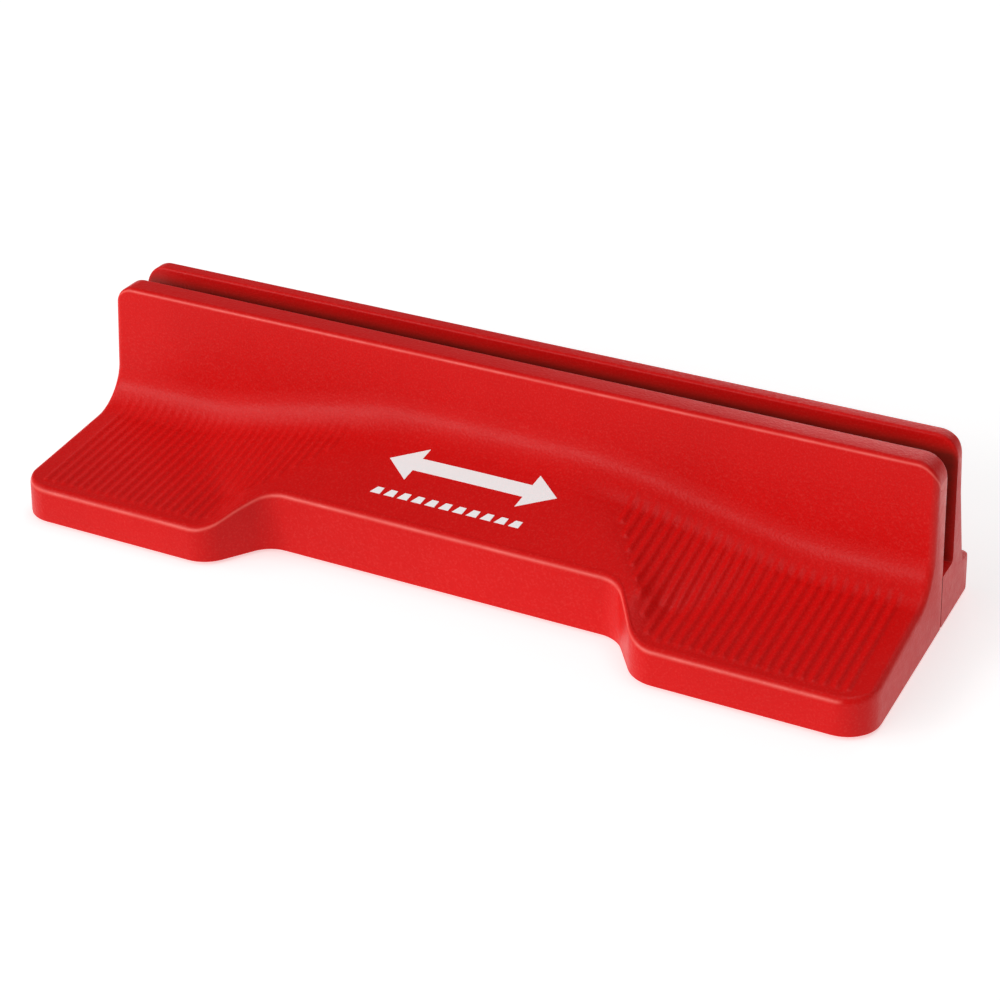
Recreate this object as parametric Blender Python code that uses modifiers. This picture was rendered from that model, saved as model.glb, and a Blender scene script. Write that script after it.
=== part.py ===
"""Bench guide for squaring a scraper's edge: a two-part moulded bar with a file under its slot."""

import math

import bmesh
import bpy
import numpy as np
from mathutils import Matrix

# overall sizes of the moulded bar (metres)
LENGTH = 0.150
FOOT_REACH = 0.0347
MIDDLE_REACH = 0.0251
REAR_REACH = 0.0149
BODY_HEIGHT = 0.0305
END_DRAFT = math.radians(3.0)

# front body: upright wall, hand rests and the raised middle block
WALL_TOP_THICKNESS = 0.0046
WALL_DRAFT = math.radians(1.1)
WALL_CORNER_RADIUS = 0.0036
WALL_FRONT_ROUNDING = 0.0009
WALL_BACK_ROUNDING = 0.0005
WALL_FILLET = 0.0070
REST_FRONT_HEIGHT = 0.0064
REST_SLOPE = 0.093
MIDDLE_FRONT_HEIGHT = 0.0105
MIDDLE_SLOPE = 0.36
TOP_ROUNDING = 0.0013
FOOT_CORNER_RADIUS = 0.00575
NOTCH_BACK_HALF = 0.0313
NOTCH_FRONT_HALF = 0.0379
NOTCH_INNER_RADIUS = 0.0054
NOTCH_OUTER_RADIUS = 0.0060
RAMP_TOP_AT_WALL = 0.016
RAMP_TOP_AT_FRONT = 0.035
RAMP_FOOT_AT_WALL = 0.057
RAMP_FOOT_AT_FRONT = 0.0395
RAMP_SOFTNESS = 0.18

# rear jaw and the guide slot in it
SLOT_WIDTH = 0.0055
SLOT_FLOOR = 0.0092
SLOT_FLOOR_RADIUS = 0.0010
SLOT_SILL_ROUNDING = 0.00025
JAW_TOP_THICKNESS = 0.0030
JAW_WAIST_DROP = 0.0105
JAW_WAIST_SPREAD = 0.0006
JAW_SKIRT_SPREAD = 0.0033
FLANGE_HEIGHT = 0.0064
FLANGE_BEVEL = 0.0008
END_ROUNDING = 0.0012

# hidden file blade
FILE_LENGTH = 0.120
FILE_WIDTH = 0.013
FILE_THICKNESS = 0.0025
FILE_TOP = 0.0086
FILE_WINDOW_HALF = 0.056
SWARF_RELIEF = 0.0004
SWARF_HEIGHT = 0.0014
FILE_HOLE_RADIUS = 0.0012
FILE_CORNER = 0.0008

# fasteners through the rear jaw
SCREW_INNER_HALF = 0.025
SCREW_OUTER_HALF = 0.0675
SCREW_HEIGHT = 0.0027
SCREW_RADIUS = 0.00125
SCREW_HEAD_RADIUS = 0.0020
SCREW_HEAD_HEIGHT = 0.0014
SCREW_HEAD_SINK = 0.0022
SCREW_REACH = 0.0050
SCREW_TIP_RADIUS = 0.0009
SCREW_TIP_LENGTH = 0.0006
SCREW_DOME_RADIUS = 0.0013
SCREW_RIM_HEIGHT = 0.0008
CROSS_WIDTH = 0.0006
CROSS_LENGTH = 0.0024
CROSS_DEPTH = 0.0008
INSERT_RADIUS = 0.0019
INSERT_LENGTH = 0.0050
INSERT_SETBACK = 0.0004
INSERT_GROOVE = 0.00025
DOWEL_HALF_SPACING = 0.046
DOWEL_RADIUS = 0.0010
DOWEL_LENGTH = 0.010
DOWEL_HEIGHT = 0.0027
DOWEL_CHAMFER = 0.00025

# underside: plate, its screws, pockets and pads
PLATE_THICKNESS = 0.0020
PLATE_MARGIN = 0.0030
PLATE_BACK_SETBACK = 0.0085
PLATE_NOTCH_RADIUS = 0.0030
PLATE_NOTCH_SHARE = 0.45
PLATE_SCREW_RADIUS = 0.0010
PLATE_SCREW_HEAD_RADIUS = 0.0018
PLATE_SCREW_HEAD_HEIGHT = 0.0009
PLATE_SCREW_LENGTH = 0.0040
PLATE_SCREW_CHAMFER = 0.0003
PLATE_SCREW_TIP = 0.0005
PLATE_CROSS_DEPTH = 0.0005
PLATE_SCREW_SETBACK = 0.0145
PLATE_SCREW_SPOTS = (-0.0685, -0.0385, 0.0, 0.0385, 0.0685)
POCKET_EDGE = 0.0015
POCKET_CORNER = 0.0015
POCKET_SIDE_RISE = 0.0043
POCKET_MIDDLE_RISE = 0.0080
POCKET_BACK_SETBACK = 0.0105
POCKET_MIDDLE_SPAN = (0.0035, 0.0330)
POCKET_SIDE_SPAN = (0.0435, 0.0640)
PAD_RADIUS = 0.0040
PAD_THICKNESS = 0.0014
PAD_PROUD = 0.0005
PAD_CHAMFER = 0.0003
PAD_HALF_SPACING = 0.0565
PAD_FRONT_INSET = 0.0097
PAD_REAR_SETBACK = 0.0072

# fits and mesh steps
GAP = 0.0003
SIDES = 20
ARC_STEPS = 4
OUTLINE_STEPS = 6
END_STEPS = 5
CORNER_STEPS = 3
FILLET_STEPS = 7
TOP_STEPS = 7
RAMP_STEPS = 12
MIDDLE_STEPS = 5
REST_STEPS = 4
MARGIN = 0.002
CORNER_PASSES = 3
CLOSEST_STATIONS = 0.00006
WELD = 0.00001
SHARP_ANGLE = math.radians(32.0)

# derived once
HALF = LENGTH / 2
SEAM_Y = (FOOT_REACH - REAR_REACH) / 2
BASE_Z = PAD_PROUD
PAD_FRONT_SETBACK = FOOT_REACH - PAD_FRONT_INSET


def material(name, colour, roughness, metallic=0.0):
    """A named plain finish."""
    finish = bpy.data.materials.new(name)
    finish.use_nodes = True
    shader = finish.node_tree.nodes["Principled BSDF"]
    shader.inputs["Base Color"].default_value = (*colour, 1.0)
    shader.inputs["Roughness"].default_value = roughness
    shader.inputs["Metallic"].default_value = metallic
    return finish


def collection(name):
    """A collection linked into the scene."""
    group = bpy.data.collections.new(name)
    bpy.context.scene.collection.children.link(group)
    return group


def smoothed(mesh):
    """Smooth shading with crisp edges."""
    mesh.shade_smooth()
    mesh.set_sharp_from_angle(angle=SHARP_ANGLE)


def solid(source, group, finish=None):
    """Turn a curve or a swept profile into a plain mesh object of the same name."""
    bpy.context.view_layer.update()
    graph = bpy.context.evaluated_depsgraph_get()
    mesh = bpy.data.meshes.new_from_object(source.evaluated_get(graph))
    work = bmesh.new()
    work.from_mesh(mesh)
    bmesh.ops.remove_doubles(work, verts=work.verts, dist=WELD)
    work.to_mesh(mesh)
    work.free()
    name = source.name
    place = source.matrix_world.copy()
    bpy.data.objects.remove(source, do_unlink=True)
    item = bpy.data.objects.new(name, mesh)
    item.matrix_world = place
    group.objects.link(item)
    if finish:
        mesh.materials.append(finish)
        smoothed(mesh)
    return item


def as_cutter(item):
    """Mark an object as a hidden cutter."""
    item.hide_render = True
    item.display_type = "WIRE"
    return item


def cut(target, cutter):
    """Take the cutter's shape out of the target."""
    step = target.modifiers.new(f"cut_{cutter.name}", "BOOLEAN")
    step.operation = "DIFFERENCE"
    step.solver = "EXACT"
    step.object = cutter


def arc(centre, radius, start, stop, steps):
    """Points along a circular arc, angles in degrees."""
    angles = np.radians(np.linspace(start, stop, steps + 1))
    return np.column_stack([centre[0] + radius * np.cos(angles), centre[1] + radius * np.sin(angles)])


def unit(vector):
    """The vector at length one."""
    return vector / np.linalg.norm(vector)


def rounded(points, radii, steps):
    """An open path with its inner corners rounded to the given radii, in that many steps each."""
    path = [np.array([points[0]])]
    for before, corner, after, radius, count in zip(points, points[1:], points[2:], radii, steps):
        corner = np.array(corner)
        back = unit(np.array(before) - corner)
        ahead = unit(np.array(after) - corner)
        half_angle = math.acos(float(back @ ahead)) / 2
        reach = radius / math.tan(half_angle)
        centre = corner + unit(back + ahead) * radius / math.sin(half_angle)
        start = corner + back * reach - centre
        stop = corner + ahead * reach - centre
        first = math.atan2(start[1], start[0])
        sweep = (math.atan2(stop[1], stop[0]) - first + math.pi) % (2 * math.pi) - math.pi
        angles = first + np.linspace(0.0, sweep, count + 1)
        path.append(centre + radius * np.column_stack([np.cos(angles), np.sin(angles)]))
    path.append(np.array([points[-1]]))
    return np.concatenate(path)


def rounded_loop(points, radius, steps):
    """A closed outline with every corner rounded to the same radius."""
    ring = [points[-1], *points, points[0]]
    return rounded(ring, [radius] * len(points), [steps] * len(points))[1:-1]


def loft(name, sections, group, finish):
    """One closed body through matching closed sections, capped at both ends."""
    count = len(sections[0])
    vertices = np.concatenate(sections).tolist()
    last = (len(sections) - 1) * count
    faces = [tuple(range(count)), tuple(range(last, last + count))]
    for start in range(0, last, count):
        for column in range(count):
            after = (column + 1) % count
            faces.append((start + column, start + after, start + count + after, start + count + column))
    mesh = bpy.data.meshes.new(name)
    mesh.from_pydata(vertices, [], faces)
    work = bmesh.new()
    work.from_mesh(mesh)
    bmesh.ops.remove_doubles(work, verts=work.verts, dist=WELD)
    bmesh.ops.recalc_face_normals(work, faces=work.faces)
    work.to_mesh(mesh)
    work.free()
    item = bpy.data.objects.new(name, mesh)
    group.objects.link(item)
    mesh.materials.append(finish)
    smoothed(mesh)
    return item


def raised(name, outline, bottom, top, group, finish=None):
    """A flat outline in X and Y raised from bottom to top."""
    curve = bpy.data.curves.new(name, "CURVE")
    curve.dimensions = "2D"
    curve.fill_mode = "BOTH"
    curve.extrude = (top - bottom) / 2
    line = curve.splines.new("POLY")
    line.points.add(len(outline) - 1)
    line.use_cyclic_u = True
    for point, (x, y) in zip(line.points, outline):
        point.co = (x, y, 0.0, 1.0)
    item = bpy.data.objects.new(name, curve)
    item.location.z = (bottom + top) / 2
    group.objects.link(item)
    return solid(item, group, finish)


def block(name, low, high, group):
    """A plain block between two corners."""
    size = [end - start for start, end in zip(low, high)]
    centre = [(start + end) / 2 for start, end in zip(low, high)]
    work = bmesh.new()
    bmesh.ops.create_cube(work, size=1.0, matrix=Matrix.Translation(centre) @ Matrix.Diagonal((*size, 1.0)))
    mesh = bpy.data.meshes.new(name)
    work.to_mesh(mesh)
    work.free()
    item = bpy.data.objects.new(name, mesh)
    group.objects.link(item)
    return item


def turned(name, profile, place, along_y, group, finish=None):
    """A round body: (radius, height) points, from the bottom up, swept about the axis through place."""
    points = [(radius, 0.0, height) for radius, height in reversed(profile)]
    edges = [(number, number + 1) for number in range(len(points) - 1)]
    if points[0][0] > 0:
        edges.append((len(points) - 1, 0))
    mesh = bpy.data.meshes.new(name)
    mesh.from_pydata(points, edges, [])
    item = bpy.data.objects.new(name, mesh)
    item.location = place
    item.rotation_euler.x = math.radians(-90.0) if along_y else 0.0
    group.objects.link(item)
    sweep = item.modifiers.new("sweep", "SCREW")
    sweep.steps = SIDES
    sweep.render_steps = SIDES
    sweep.use_merge_vertices = True
    sweep.merge_threshold = WELD
    return solid(item, group, finish)


def seat(radius, bottom, top):
    """The profile of a plain round hole."""
    return [(0.0, bottom), (radius, bottom), (radius, top), (0.0, top)]


def world(y, z):
    """Turn sizes measured from the seam and the underside of the bar into world Y and Z."""
    return y + SEAM_Y, z + BASE_Z


def front_outline():
    """The front edge of the bar from left to right, seen from above."""
    right = [
        (NOTCH_BACK_HALF, -MIDDLE_REACH),
        (NOTCH_FRONT_HALF, -FOOT_REACH),
        (HALF, -FOOT_REACH),
        (HALF, 0.0),
    ]
    radii = [NOTCH_INNER_RADIUS, NOTCH_OUTER_RADIUS, FOOT_CORNER_RADIUS]
    points = [(-x, y) for x, y in reversed(right)] + right
    radii = radii[::-1] + radii
    return rounded(points, radii, [OUTLINE_STEPS] * len(radii))


def ramp_share(x, y):
    """How far the top has dropped from the middle block (0) to the hand rest (1)."""
    wall_y = -WALL_TOP_THICKNESS
    depth = np.clip((y - wall_y) / (-MIDDLE_REACH - wall_y), 0.0, 1.0)
    upper = RAMP_TOP_AT_WALL + (RAMP_TOP_AT_FRONT - RAMP_TOP_AT_WALL) * depth
    lower = RAMP_FOOT_AT_WALL + (RAMP_FOOT_AT_FRONT - RAMP_FOOT_AT_WALL) * depth
    share = (abs(x) - upper) / (lower - upper)
    soft = RAMP_SOFTNESS**2
    eased = (np.sqrt(share * share + soft) - np.sqrt((share - 1.0) ** 2 + soft) + 1.0) / 2
    return np.clip(eased, 0.0, 1.0)


def top_height(x, y):
    """Height of the hand rests and middle block above the underside."""
    rest = REST_FRONT_HEIGHT + REST_SLOPE * (y + FOOT_REACH)
    middle = MIDDLE_FRONT_HEIGHT + MIDDLE_SLOPE * (y + MIDDLE_REACH)
    return middle + (rest - middle) * ramp_share(x, y)


def end_places(radius):
    """Places along the bar that follow a rounding of the given radius at its end."""
    return [HALF - radius * (1.0 - math.cos(angle)) for angle in np.linspace(0.0, math.pi / 2, END_STEPS + 1)]


def rounding_drop(from_end, radius):
    """How far a surface falls away inside a rounded end."""
    if from_end >= radius:
        return 0.0
    return radius - math.sqrt(radius**2 - (radius - from_end) ** 2)


def drafted(x, profile):
    """Place a profile at x, leaning the ends in with height."""
    lean = 1.0 - profile[:, 1] * math.tan(END_DRAFT) / HALF
    y, z = world(profile[:, 0], profile[:, 1])
    return np.column_stack([x * lean, y, z])


def wall_face(height):
    """Y of the front face of the upright wall at a height."""
    return -(WALL_TOP_THICKNESS + (BODY_HEIGHT - height) * math.tan(WALL_DRAFT))


def wall_corner(x):
    """Where the wall's front face would meet the top of the rests and block."""
    height = REST_FRONT_HEIGHT
    for _ in range(CORNER_PASSES):
        height = float(top_height(x, wall_face(height)))
    return np.array([wall_face(height), height])


def fillet_landing(x, corner):
    """Where the hollow fillet at the foot of the wall runs out into the top."""
    up = unit(np.array([math.tan(WALL_DRAFT), 1.0]))
    probe_y = corner[0] - WALL_FILLET / 2
    ahead = unit(np.array([probe_y, float(top_height(x, probe_y))]) - corner)
    reach = WALL_FILLET / math.tan(math.acos(float(up @ ahead)) / 2)
    landing_y = corner[0] + ahead[0] * reach
    return np.array([landing_y, float(top_height(x, landing_y))])


def front_section(x, reach):
    """The closed profile of the front body at one place along the bar."""
    from_end = HALF - abs(x)
    top = BODY_HEIGHT - rounding_drop(from_end, WALL_CORNER_RADIUS)
    shrink = rounding_drop(from_end, END_ROUNDING)
    corner = wall_corner(x)
    landing = fillet_landing(x, corner)
    wall_top = (wall_face(BODY_HEIGHT) + shrink, top)
    points = [(0.0, 0.0), (0.0, top), wall_top, tuple(corner), tuple(landing)]
    radii = [WALL_BACK_ROUNDING, WALL_FRONT_ROUNDING, WALL_FILLET]
    wall = rounded(points, radii, [ARC_STEPS, ARC_STEPS, FILLET_STEPS])[:-1]
    turning = np.linspace(0.0, 1.0, FILLET_STEPS + 1)
    wall[-FILLET_STEPS - 1 :] += shrink * np.column_stack([1.0 - turning, -turning])
    edge_y = TOP_ROUNDING - reach
    across = np.linspace(landing[0], edge_y, TOP_STEPS + 1)[1:]
    shelf = np.column_stack([across, top_height(x, across) - shrink])
    edge_z = shelf[-1, 1]
    turn = arc((edge_y, edge_z - TOP_ROUNDING), TOP_ROUNDING, 90.0, 180.0, ARC_STEPS)[1:]
    foot = np.array([(-reach, 0.0)])
    return np.concatenate([wall, shelf, turn, foot])


def front_stations():
    """Places along the bar where the front body's section is drawn, with the reach at each."""
    outline = front_outline()[1:-1]
    places = end_places(END_ROUNDING) + end_places(WALL_CORNER_RADIUS)
    places += list(np.linspace(0.0, RAMP_TOP_AT_WALL, MIDDLE_STEPS))
    places += list(np.linspace(RAMP_TOP_AT_WALL, RAMP_FOOT_AT_WALL, RAMP_STEPS))
    places += list(np.linspace(RAMP_FOOT_AT_WALL, HALF - FOOT_CORNER_RADIUS, REST_STEPS))
    places += [abs(x) for x in outline[:, 0]]
    kept = []
    for place in sorted(places):
        if not kept or place - kept[-1] > CLOSEST_STATIONS:
            kept.append(place)
    kept[-1] = HALF
    stations = sorted({side * place for place in kept for side in (-1.0, 1.0)})
    reaches = -np.interp(stations, outline[:, 0], outline[:, 1])
    return list(zip(stations, reaches))


def pocket_outline(low, high):
    """A rounded rectangle between two corners."""
    points = [(low[0], low[1]), (high[0], low[1]), (high[0], high[1]), (low[0], high[1])]
    return rounded_loop(points, POCKET_CORNER, CORNER_STEPS)


def plate_outline(grow):
    """The base plate's outline, grown by a clearance."""
    margin = PLATE_MARGIN - grow
    side = HALF - margin
    foot = -FOOT_REACH + margin
    middle = -MIDDLE_REACH + margin
    back = -PLATE_BACK_SETBACK + grow
    notch = NOTCH_FRONT_HALF + margin
    points = [
        (-side, foot),
        (-notch, foot),
        (-notch, middle),
        (notch, middle),
        (notch, foot),
        (side, foot),
        (side, back),
        (-side, back),
    ]
    radius = min(PLATE_NOTCH_RADIUS, PLATE_NOTCH_SHARE * (FOOT_REACH - MIDDLE_REACH))
    outline = rounded_loop(points, radius, ARC_STEPS)
    outline[:, 1] += SEAM_Y
    return outline


def file_pocket(group):
    """The clearance space around the file blade, shared by both mouldings."""
    middle_y = SLOT_WIDTH / 2
    low_y, low_z = world(middle_y - FILE_WIDTH / 2 - GAP, FILE_TOP - FILE_THICKNESS - GAP)
    high_y, high_z = world(middle_y + FILE_WIDTH / 2 + GAP, FILE_TOP + GAP)
    side = FILE_LENGTH / 2 + GAP
    return as_cutter(block("file_pocket", (-side, low_y, low_z), (side, high_y, high_z), group))


def slot_window(group):
    """The opening in the slot floor that bares the file, with a shallow relief for filings."""
    low_y, low_z = world(-MARGIN, FILE_TOP)
    high_y, high_z = world(SLOT_WIDTH + SWARF_RELIEF, SLOT_FLOOR + SWARF_HEIGHT)
    low = (-FILE_WINDOW_HALF, low_y, low_z)
    high = (FILE_WINDOW_HALF, high_y, high_z)
    return as_cutter(block("slot_window", low, high, group))


def underside_pockets(group):
    """Weight-saving pockets above the base plate."""
    pockets = []
    front_of = {"middle": -MIDDLE_REACH, "side": -FOOT_REACH}
    spans = {"middle": POCKET_MIDDLE_SPAN, "side": POCKET_SIDE_SPAN}
    rises = {"middle": POCKET_MIDDLE_RISE, "side": POCKET_SIDE_RISE}
    for kind, (inner, outer) in spans.items():
        for label, sign in (("left", -1), ("right", 1)):
            ends = sorted((sign * inner, sign * outer))
            front = front_of[kind] + PLATE_MARGIN + POCKET_EDGE
            low_y, low_z = world(front, PLATE_THICKNESS)
            high_y, high_z = world(-POCKET_BACK_SETBACK, rises[kind])
            outline = pocket_outline((ends[0], low_y), (ends[1], high_y))
            name = f"{kind}_pocket_{label}"
            pockets.append(as_cutter(raised(name, outline, low_z, high_z, group)))
    return pockets


def jaw_screw_spots():
    """X of each screw that clamps the jaw."""
    return (-SCREW_OUTER_HALF, -SCREW_INNER_HALF, SCREW_INNER_HALF, SCREW_OUTER_HALF)


def head_seat_y():
    """Y of the face each jaw screw's head bears on."""
    return REAR_REACH - SCREW_HEAD_SINK


def front_body(group, cutters, finish, shared):
    """The wide moulded body with its wall, hand rests and underside pockets."""
    sections = [drafted(x, front_section(x, reach)) for x, reach in front_stations()]
    body = loft("front_body", sections, group, finish)
    cut(body, shared["file_pocket"])
    recess = raised("plate_recess", plate_outline(GAP), -MARGIN, BASE_Z + PLATE_THICKNESS + GAP, cutters)
    cut(body, as_cutter(recess))
    for pocket in underside_pockets(cutters):
        cut(body, pocket)
    deep = INSERT_SETBACK + INSERT_LENGTH + GAP
    hole = seat(INSERT_RADIUS + GAP, 0.0, deep + MARGIN)
    for number, x in enumerate(jaw_screw_spots(), 1):
        y, z = world(-deep, SCREW_HEIGHT)
        cut(body, as_cutter(turned(f"insert_bore_{number}", hole, (x, y, z), True, cutters)))
    for label in ("left", "right"):
        cut(body, shared[f"dowel_bore_{label}"])
    for number, x in enumerate(PLATE_SCREW_SPOTS, 1):
        y, z = world(-PLATE_SCREW_SETBACK, 0.0)
        hole = seat(PLATE_SCREW_RADIUS + GAP, -MARGIN, PLATE_SCREW_LENGTH + GAP)
        cut(body, as_cutter(turned(f"plate_screw_bore_{number}", hole, (x, y, z), False, cutters)))
    return body


def jaw_section(x):
    """The closed profile of the rear jaw at one place along the bar."""
    from_end = HALF - abs(x)
    top = BODY_HEIGHT - rounding_drop(from_end, WALL_CORNER_RADIUS)
    shrink = rounding_drop(from_end, END_ROUNDING)
    outer_top = SLOT_WIDTH + JAW_TOP_THICKNESS
    waist_y = outer_top + JAW_WAIST_SPREAD
    waist_z = BODY_HEIGHT - JAW_WAIST_DROP
    skirt_y = outer_top + JAW_SKIRT_SPREAD
    points = [
        (GAP, 0.0),
        (GAP, SLOT_FLOOR),
        (SLOT_WIDTH, SLOT_FLOOR),
        (SLOT_WIDTH, top),
        (outer_top - shrink, top),
        (waist_y - shrink, waist_z),
        (skirt_y - shrink, FLANGE_HEIGHT),
        (REAR_REACH - shrink, FLANGE_HEIGHT),
        (REAR_REACH - shrink, 0.0),
    ]
    radii = [
        SLOT_SILL_ROUNDING,
        SLOT_FLOOR_RADIUS,
        WALL_BACK_ROUNDING,
        WALL_FRONT_ROUNDING,
        JAW_WAIST_DROP,
        FLANGE_BEVEL,
        FLANGE_BEVEL,
    ]
    return rounded(points, radii, [ARC_STEPS] * len(radii))


def jaw_stations():
    """Places along the bar where the jaw's section is drawn."""
    inner = HALF - 2 * WALL_CORNER_RADIUS
    places = sorted(end_places(END_ROUNDING) + end_places(WALL_CORNER_RADIUS)[1:])
    places = list(np.linspace(0.0, inner, MIDDLE_STEPS)) + places
    return sorted({side * place for place in places for side in (-1.0, 1.0)})


def rear_jaw(group, cutters, finish, shared):
    """The thin jaw behind the slot, with its flange and counterbores."""
    jaw = loft("rear_jaw", [drafted(x, jaw_section(x)) for x in jaw_stations()], group, finish)
    cut(jaw, shared["file_pocket"])
    cut(jaw, shared["slot_window"])
    for label in ("left", "right"):
        cut(jaw, shared[f"dowel_bore_{label}"])
    for number, x in enumerate(jaw_screw_spots(), 1):
        y, z = world(0.0, SCREW_HEIGHT)
        seat_y = head_seat_y()
        step = [
            (0.0, -MARGIN),
            (SCREW_RADIUS + GAP, -MARGIN),
            (SCREW_RADIUS + GAP, seat_y - GAP),
            (SCREW_HEAD_RADIUS + GAP, seat_y - GAP),
            (SCREW_HEAD_RADIUS + GAP, REAR_REACH + MARGIN),
            (0.0, REAR_REACH + MARGIN),
        ]
        cut(jaw, as_cutter(turned(f"jaw_bore_{number}", step, (x, y, z), True, cutters)))
    for label, x in (("left", -PAD_HALF_SPACING), ("right", PAD_HALF_SPACING)):
        y, z = world(PAD_REAR_SETBACK, 0.0)
        depth = PAD_THICKNESS - PAD_PROUD + GAP
        hole = seat(PAD_RADIUS + GAP, -MARGIN, depth)
        cut(jaw, as_cutter(turned(f"rear_pad_seat_{label}", hole, (x, y, z), False, cutters)))
    return jaw


def file_blade(group, cutters, finish):
    """The flat file held under the slot, with a hole at each end."""
    half = FILE_LENGTH / 2
    low_y, low_z = world(SLOT_WIDTH / 2 - FILE_WIDTH / 2, FILE_TOP - FILE_THICKNESS)
    high_y, high_z = world(SLOT_WIDTH / 2 + FILE_WIDTH / 2, FILE_TOP)
    corners = [(-half, low_y), (half, low_y), (half, high_y), (-half, high_y)]
    outline = rounded_loop(corners, FILE_CORNER, CORNER_STEPS)
    blade = raised("file_blade", outline, low_z, high_z, group, finish)
    for label, sign in (("left", -1), ("right", 1)):
        x = sign * (half + FILE_WINDOW_HALF) / 2
        y, z = world(SLOT_WIDTH / 2, FILE_TOP - FILE_THICKNESS)
        hole = seat(FILE_HOLE_RADIUS, -MARGIN, FILE_THICKNESS + MARGIN)
        cut(blade, as_cutter(turned(f"file_hole_{label}", hole, (x, y, z), False, cutters)))
    return blade


def jaw_screw_profile(length):
    """A pan-head screw: tip at zero, head on top of its length."""
    return [
        (0.0, 0.0),
        (SCREW_TIP_RADIUS, 0.0),
        (SCREW_RADIUS, SCREW_TIP_LENGTH),
        (SCREW_RADIUS, length),
        (SCREW_HEAD_RADIUS, length),
        (SCREW_HEAD_RADIUS, length + SCREW_RIM_HEIGHT),
        (SCREW_DOME_RADIUS, length + SCREW_HEAD_HEIGHT),
        (0.0, length + SCREW_HEAD_HEIGHT),
    ]


def sleeve_profile():
    """A threaded insert: a tube with a knurl groove about its middle."""
    inner = SCREW_RADIUS + GAP
    waist = INSERT_RADIUS - INSERT_GROOVE
    band = INSERT_LENGTH / 3
    return [
        (inner, 0.0),
        (INSERT_RADIUS, 0.0),
        (INSERT_RADIUS, band),
        (waist, band + INSERT_GROOVE),
        (waist, 2 * band - INSERT_GROOVE),
        (INSERT_RADIUS, 2 * band),
        (INSERT_RADIUS, INSERT_LENGTH),
        (inner, INSERT_LENGTH),
    ]


def cross_cutters(name, place, along_y, depth, group):
    """Two crossed slots for a driver, sunk from place."""
    cutters = []
    for label, size in (("across", (CROSS_LENGTH, CROSS_WIDTH)), ("along", (CROSS_WIDTH, CROSS_LENGTH))):
        half_x, half_other = size[0] / 2, size[1] / 2
        if along_y:
            low = (place[0] - half_x, place[1] - depth, place[2] - half_other)
            high = (place[0] + half_x, place[1] + MARGIN, place[2] + half_other)
        else:
            low = (place[0] - half_x, place[1] - half_other, place[2] - MARGIN)
            high = (place[0] + half_x, place[1] + half_other, place[2] + depth)
        cutters.append(as_cutter(block(f"{name}_{label}", low, high, group)))
    return cutters


def jaw_fasteners(group, cutters, steel, brass):
    """Clamp screws from the rear and the threaded inserts they bite into."""
    length = head_seat_y() + SCREW_REACH
    for number, x in enumerate(jaw_screw_spots(), 1):
        y, z = world(-SCREW_REACH, SCREW_HEIGHT)
        screw = turned(f"jaw_screw_{number}", jaw_screw_profile(length), (x, y, z), True, group, steel)
        crown = (x, y + length + SCREW_HEAD_HEIGHT, z)
        for slot in cross_cutters(f"jaw_cross_{number}", crown, True, CROSS_DEPTH, cutters):
            cut(screw, slot)
        y, z = world(-INSERT_SETBACK - INSERT_LENGTH, SCREW_HEIGHT)
        turned(f"threaded_insert_{number}", sleeve_profile(), (x, y, z), True, group, brass)


def dowel_bores(cutters):
    """Blind bores for the locating pins, shared by both mouldings."""
    bores = {}
    for label, x in (("left", -DOWEL_HALF_SPACING), ("right", DOWEL_HALF_SPACING)):
        y, z = world(-DOWEL_LENGTH / 2 - GAP, DOWEL_HEIGHT)
        profile = seat(DOWEL_RADIUS + GAP, 0.0, DOWEL_LENGTH + 2 * GAP)
        name = f"dowel_bore_{label}"
        bores[name] = as_cutter(turned(name, profile, (x, y, z), True, cutters))
    return bores


def dowels(group, steel):
    """Two pins that line up the mouldings."""
    profile = [
        (0.0, 0.0),
        (DOWEL_RADIUS - DOWEL_CHAMFER, 0.0),
        (DOWEL_RADIUS, DOWEL_CHAMFER),
        (DOWEL_RADIUS, DOWEL_LENGTH - DOWEL_CHAMFER),
        (DOWEL_RADIUS - DOWEL_CHAMFER, DOWEL_LENGTH),
        (0.0, DOWEL_LENGTH),
    ]
    for label, x in (("left", -DOWEL_HALF_SPACING), ("right", DOWEL_HALF_SPACING)):
        y, z = world(-DOWEL_LENGTH / 2, DOWEL_HEIGHT)
        turned(f"dowel_{label}", profile, (x, y, z), True, group, steel)


def base_plate(group, cutters, finish):
    """The plate closing the underside, with seats for its screws and front pads."""
    plate = raised("base_plate", plate_outline(0.0), BASE_Z, BASE_Z + PLATE_THICKNESS, group, finish)
    for number, x in enumerate(PLATE_SCREW_SPOTS, 1):
        y, z = world(-PLATE_SCREW_SETBACK, 0.0)
        sunk = PLATE_SCREW_HEAD_HEIGHT + GAP
        step = [
            (0.0, -MARGIN),
            (PLATE_SCREW_HEAD_RADIUS + GAP, -MARGIN),
            (PLATE_SCREW_HEAD_RADIUS + GAP, sunk),
            (PLATE_SCREW_RADIUS + GAP, sunk),
            (PLATE_SCREW_RADIUS + GAP, PLATE_THICKNESS + MARGIN),
            (0.0, PLATE_THICKNESS + MARGIN),
        ]
        cut(plate, as_cutter(turned(f"plate_hole_{number}", step, (x, y, z), False, cutters)))
    for label, x in (("left", -PAD_HALF_SPACING), ("right", PAD_HALF_SPACING)):
        y, z = world(-PAD_FRONT_SETBACK, 0.0)
        hole = seat(PAD_RADIUS + GAP, -MARGIN, PAD_THICKNESS - PAD_PROUD + GAP)
        cut(plate, as_cutter(turned(f"front_pad_seat_{label}", hole, (x, y, z), False, cutters)))
    return plate


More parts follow.
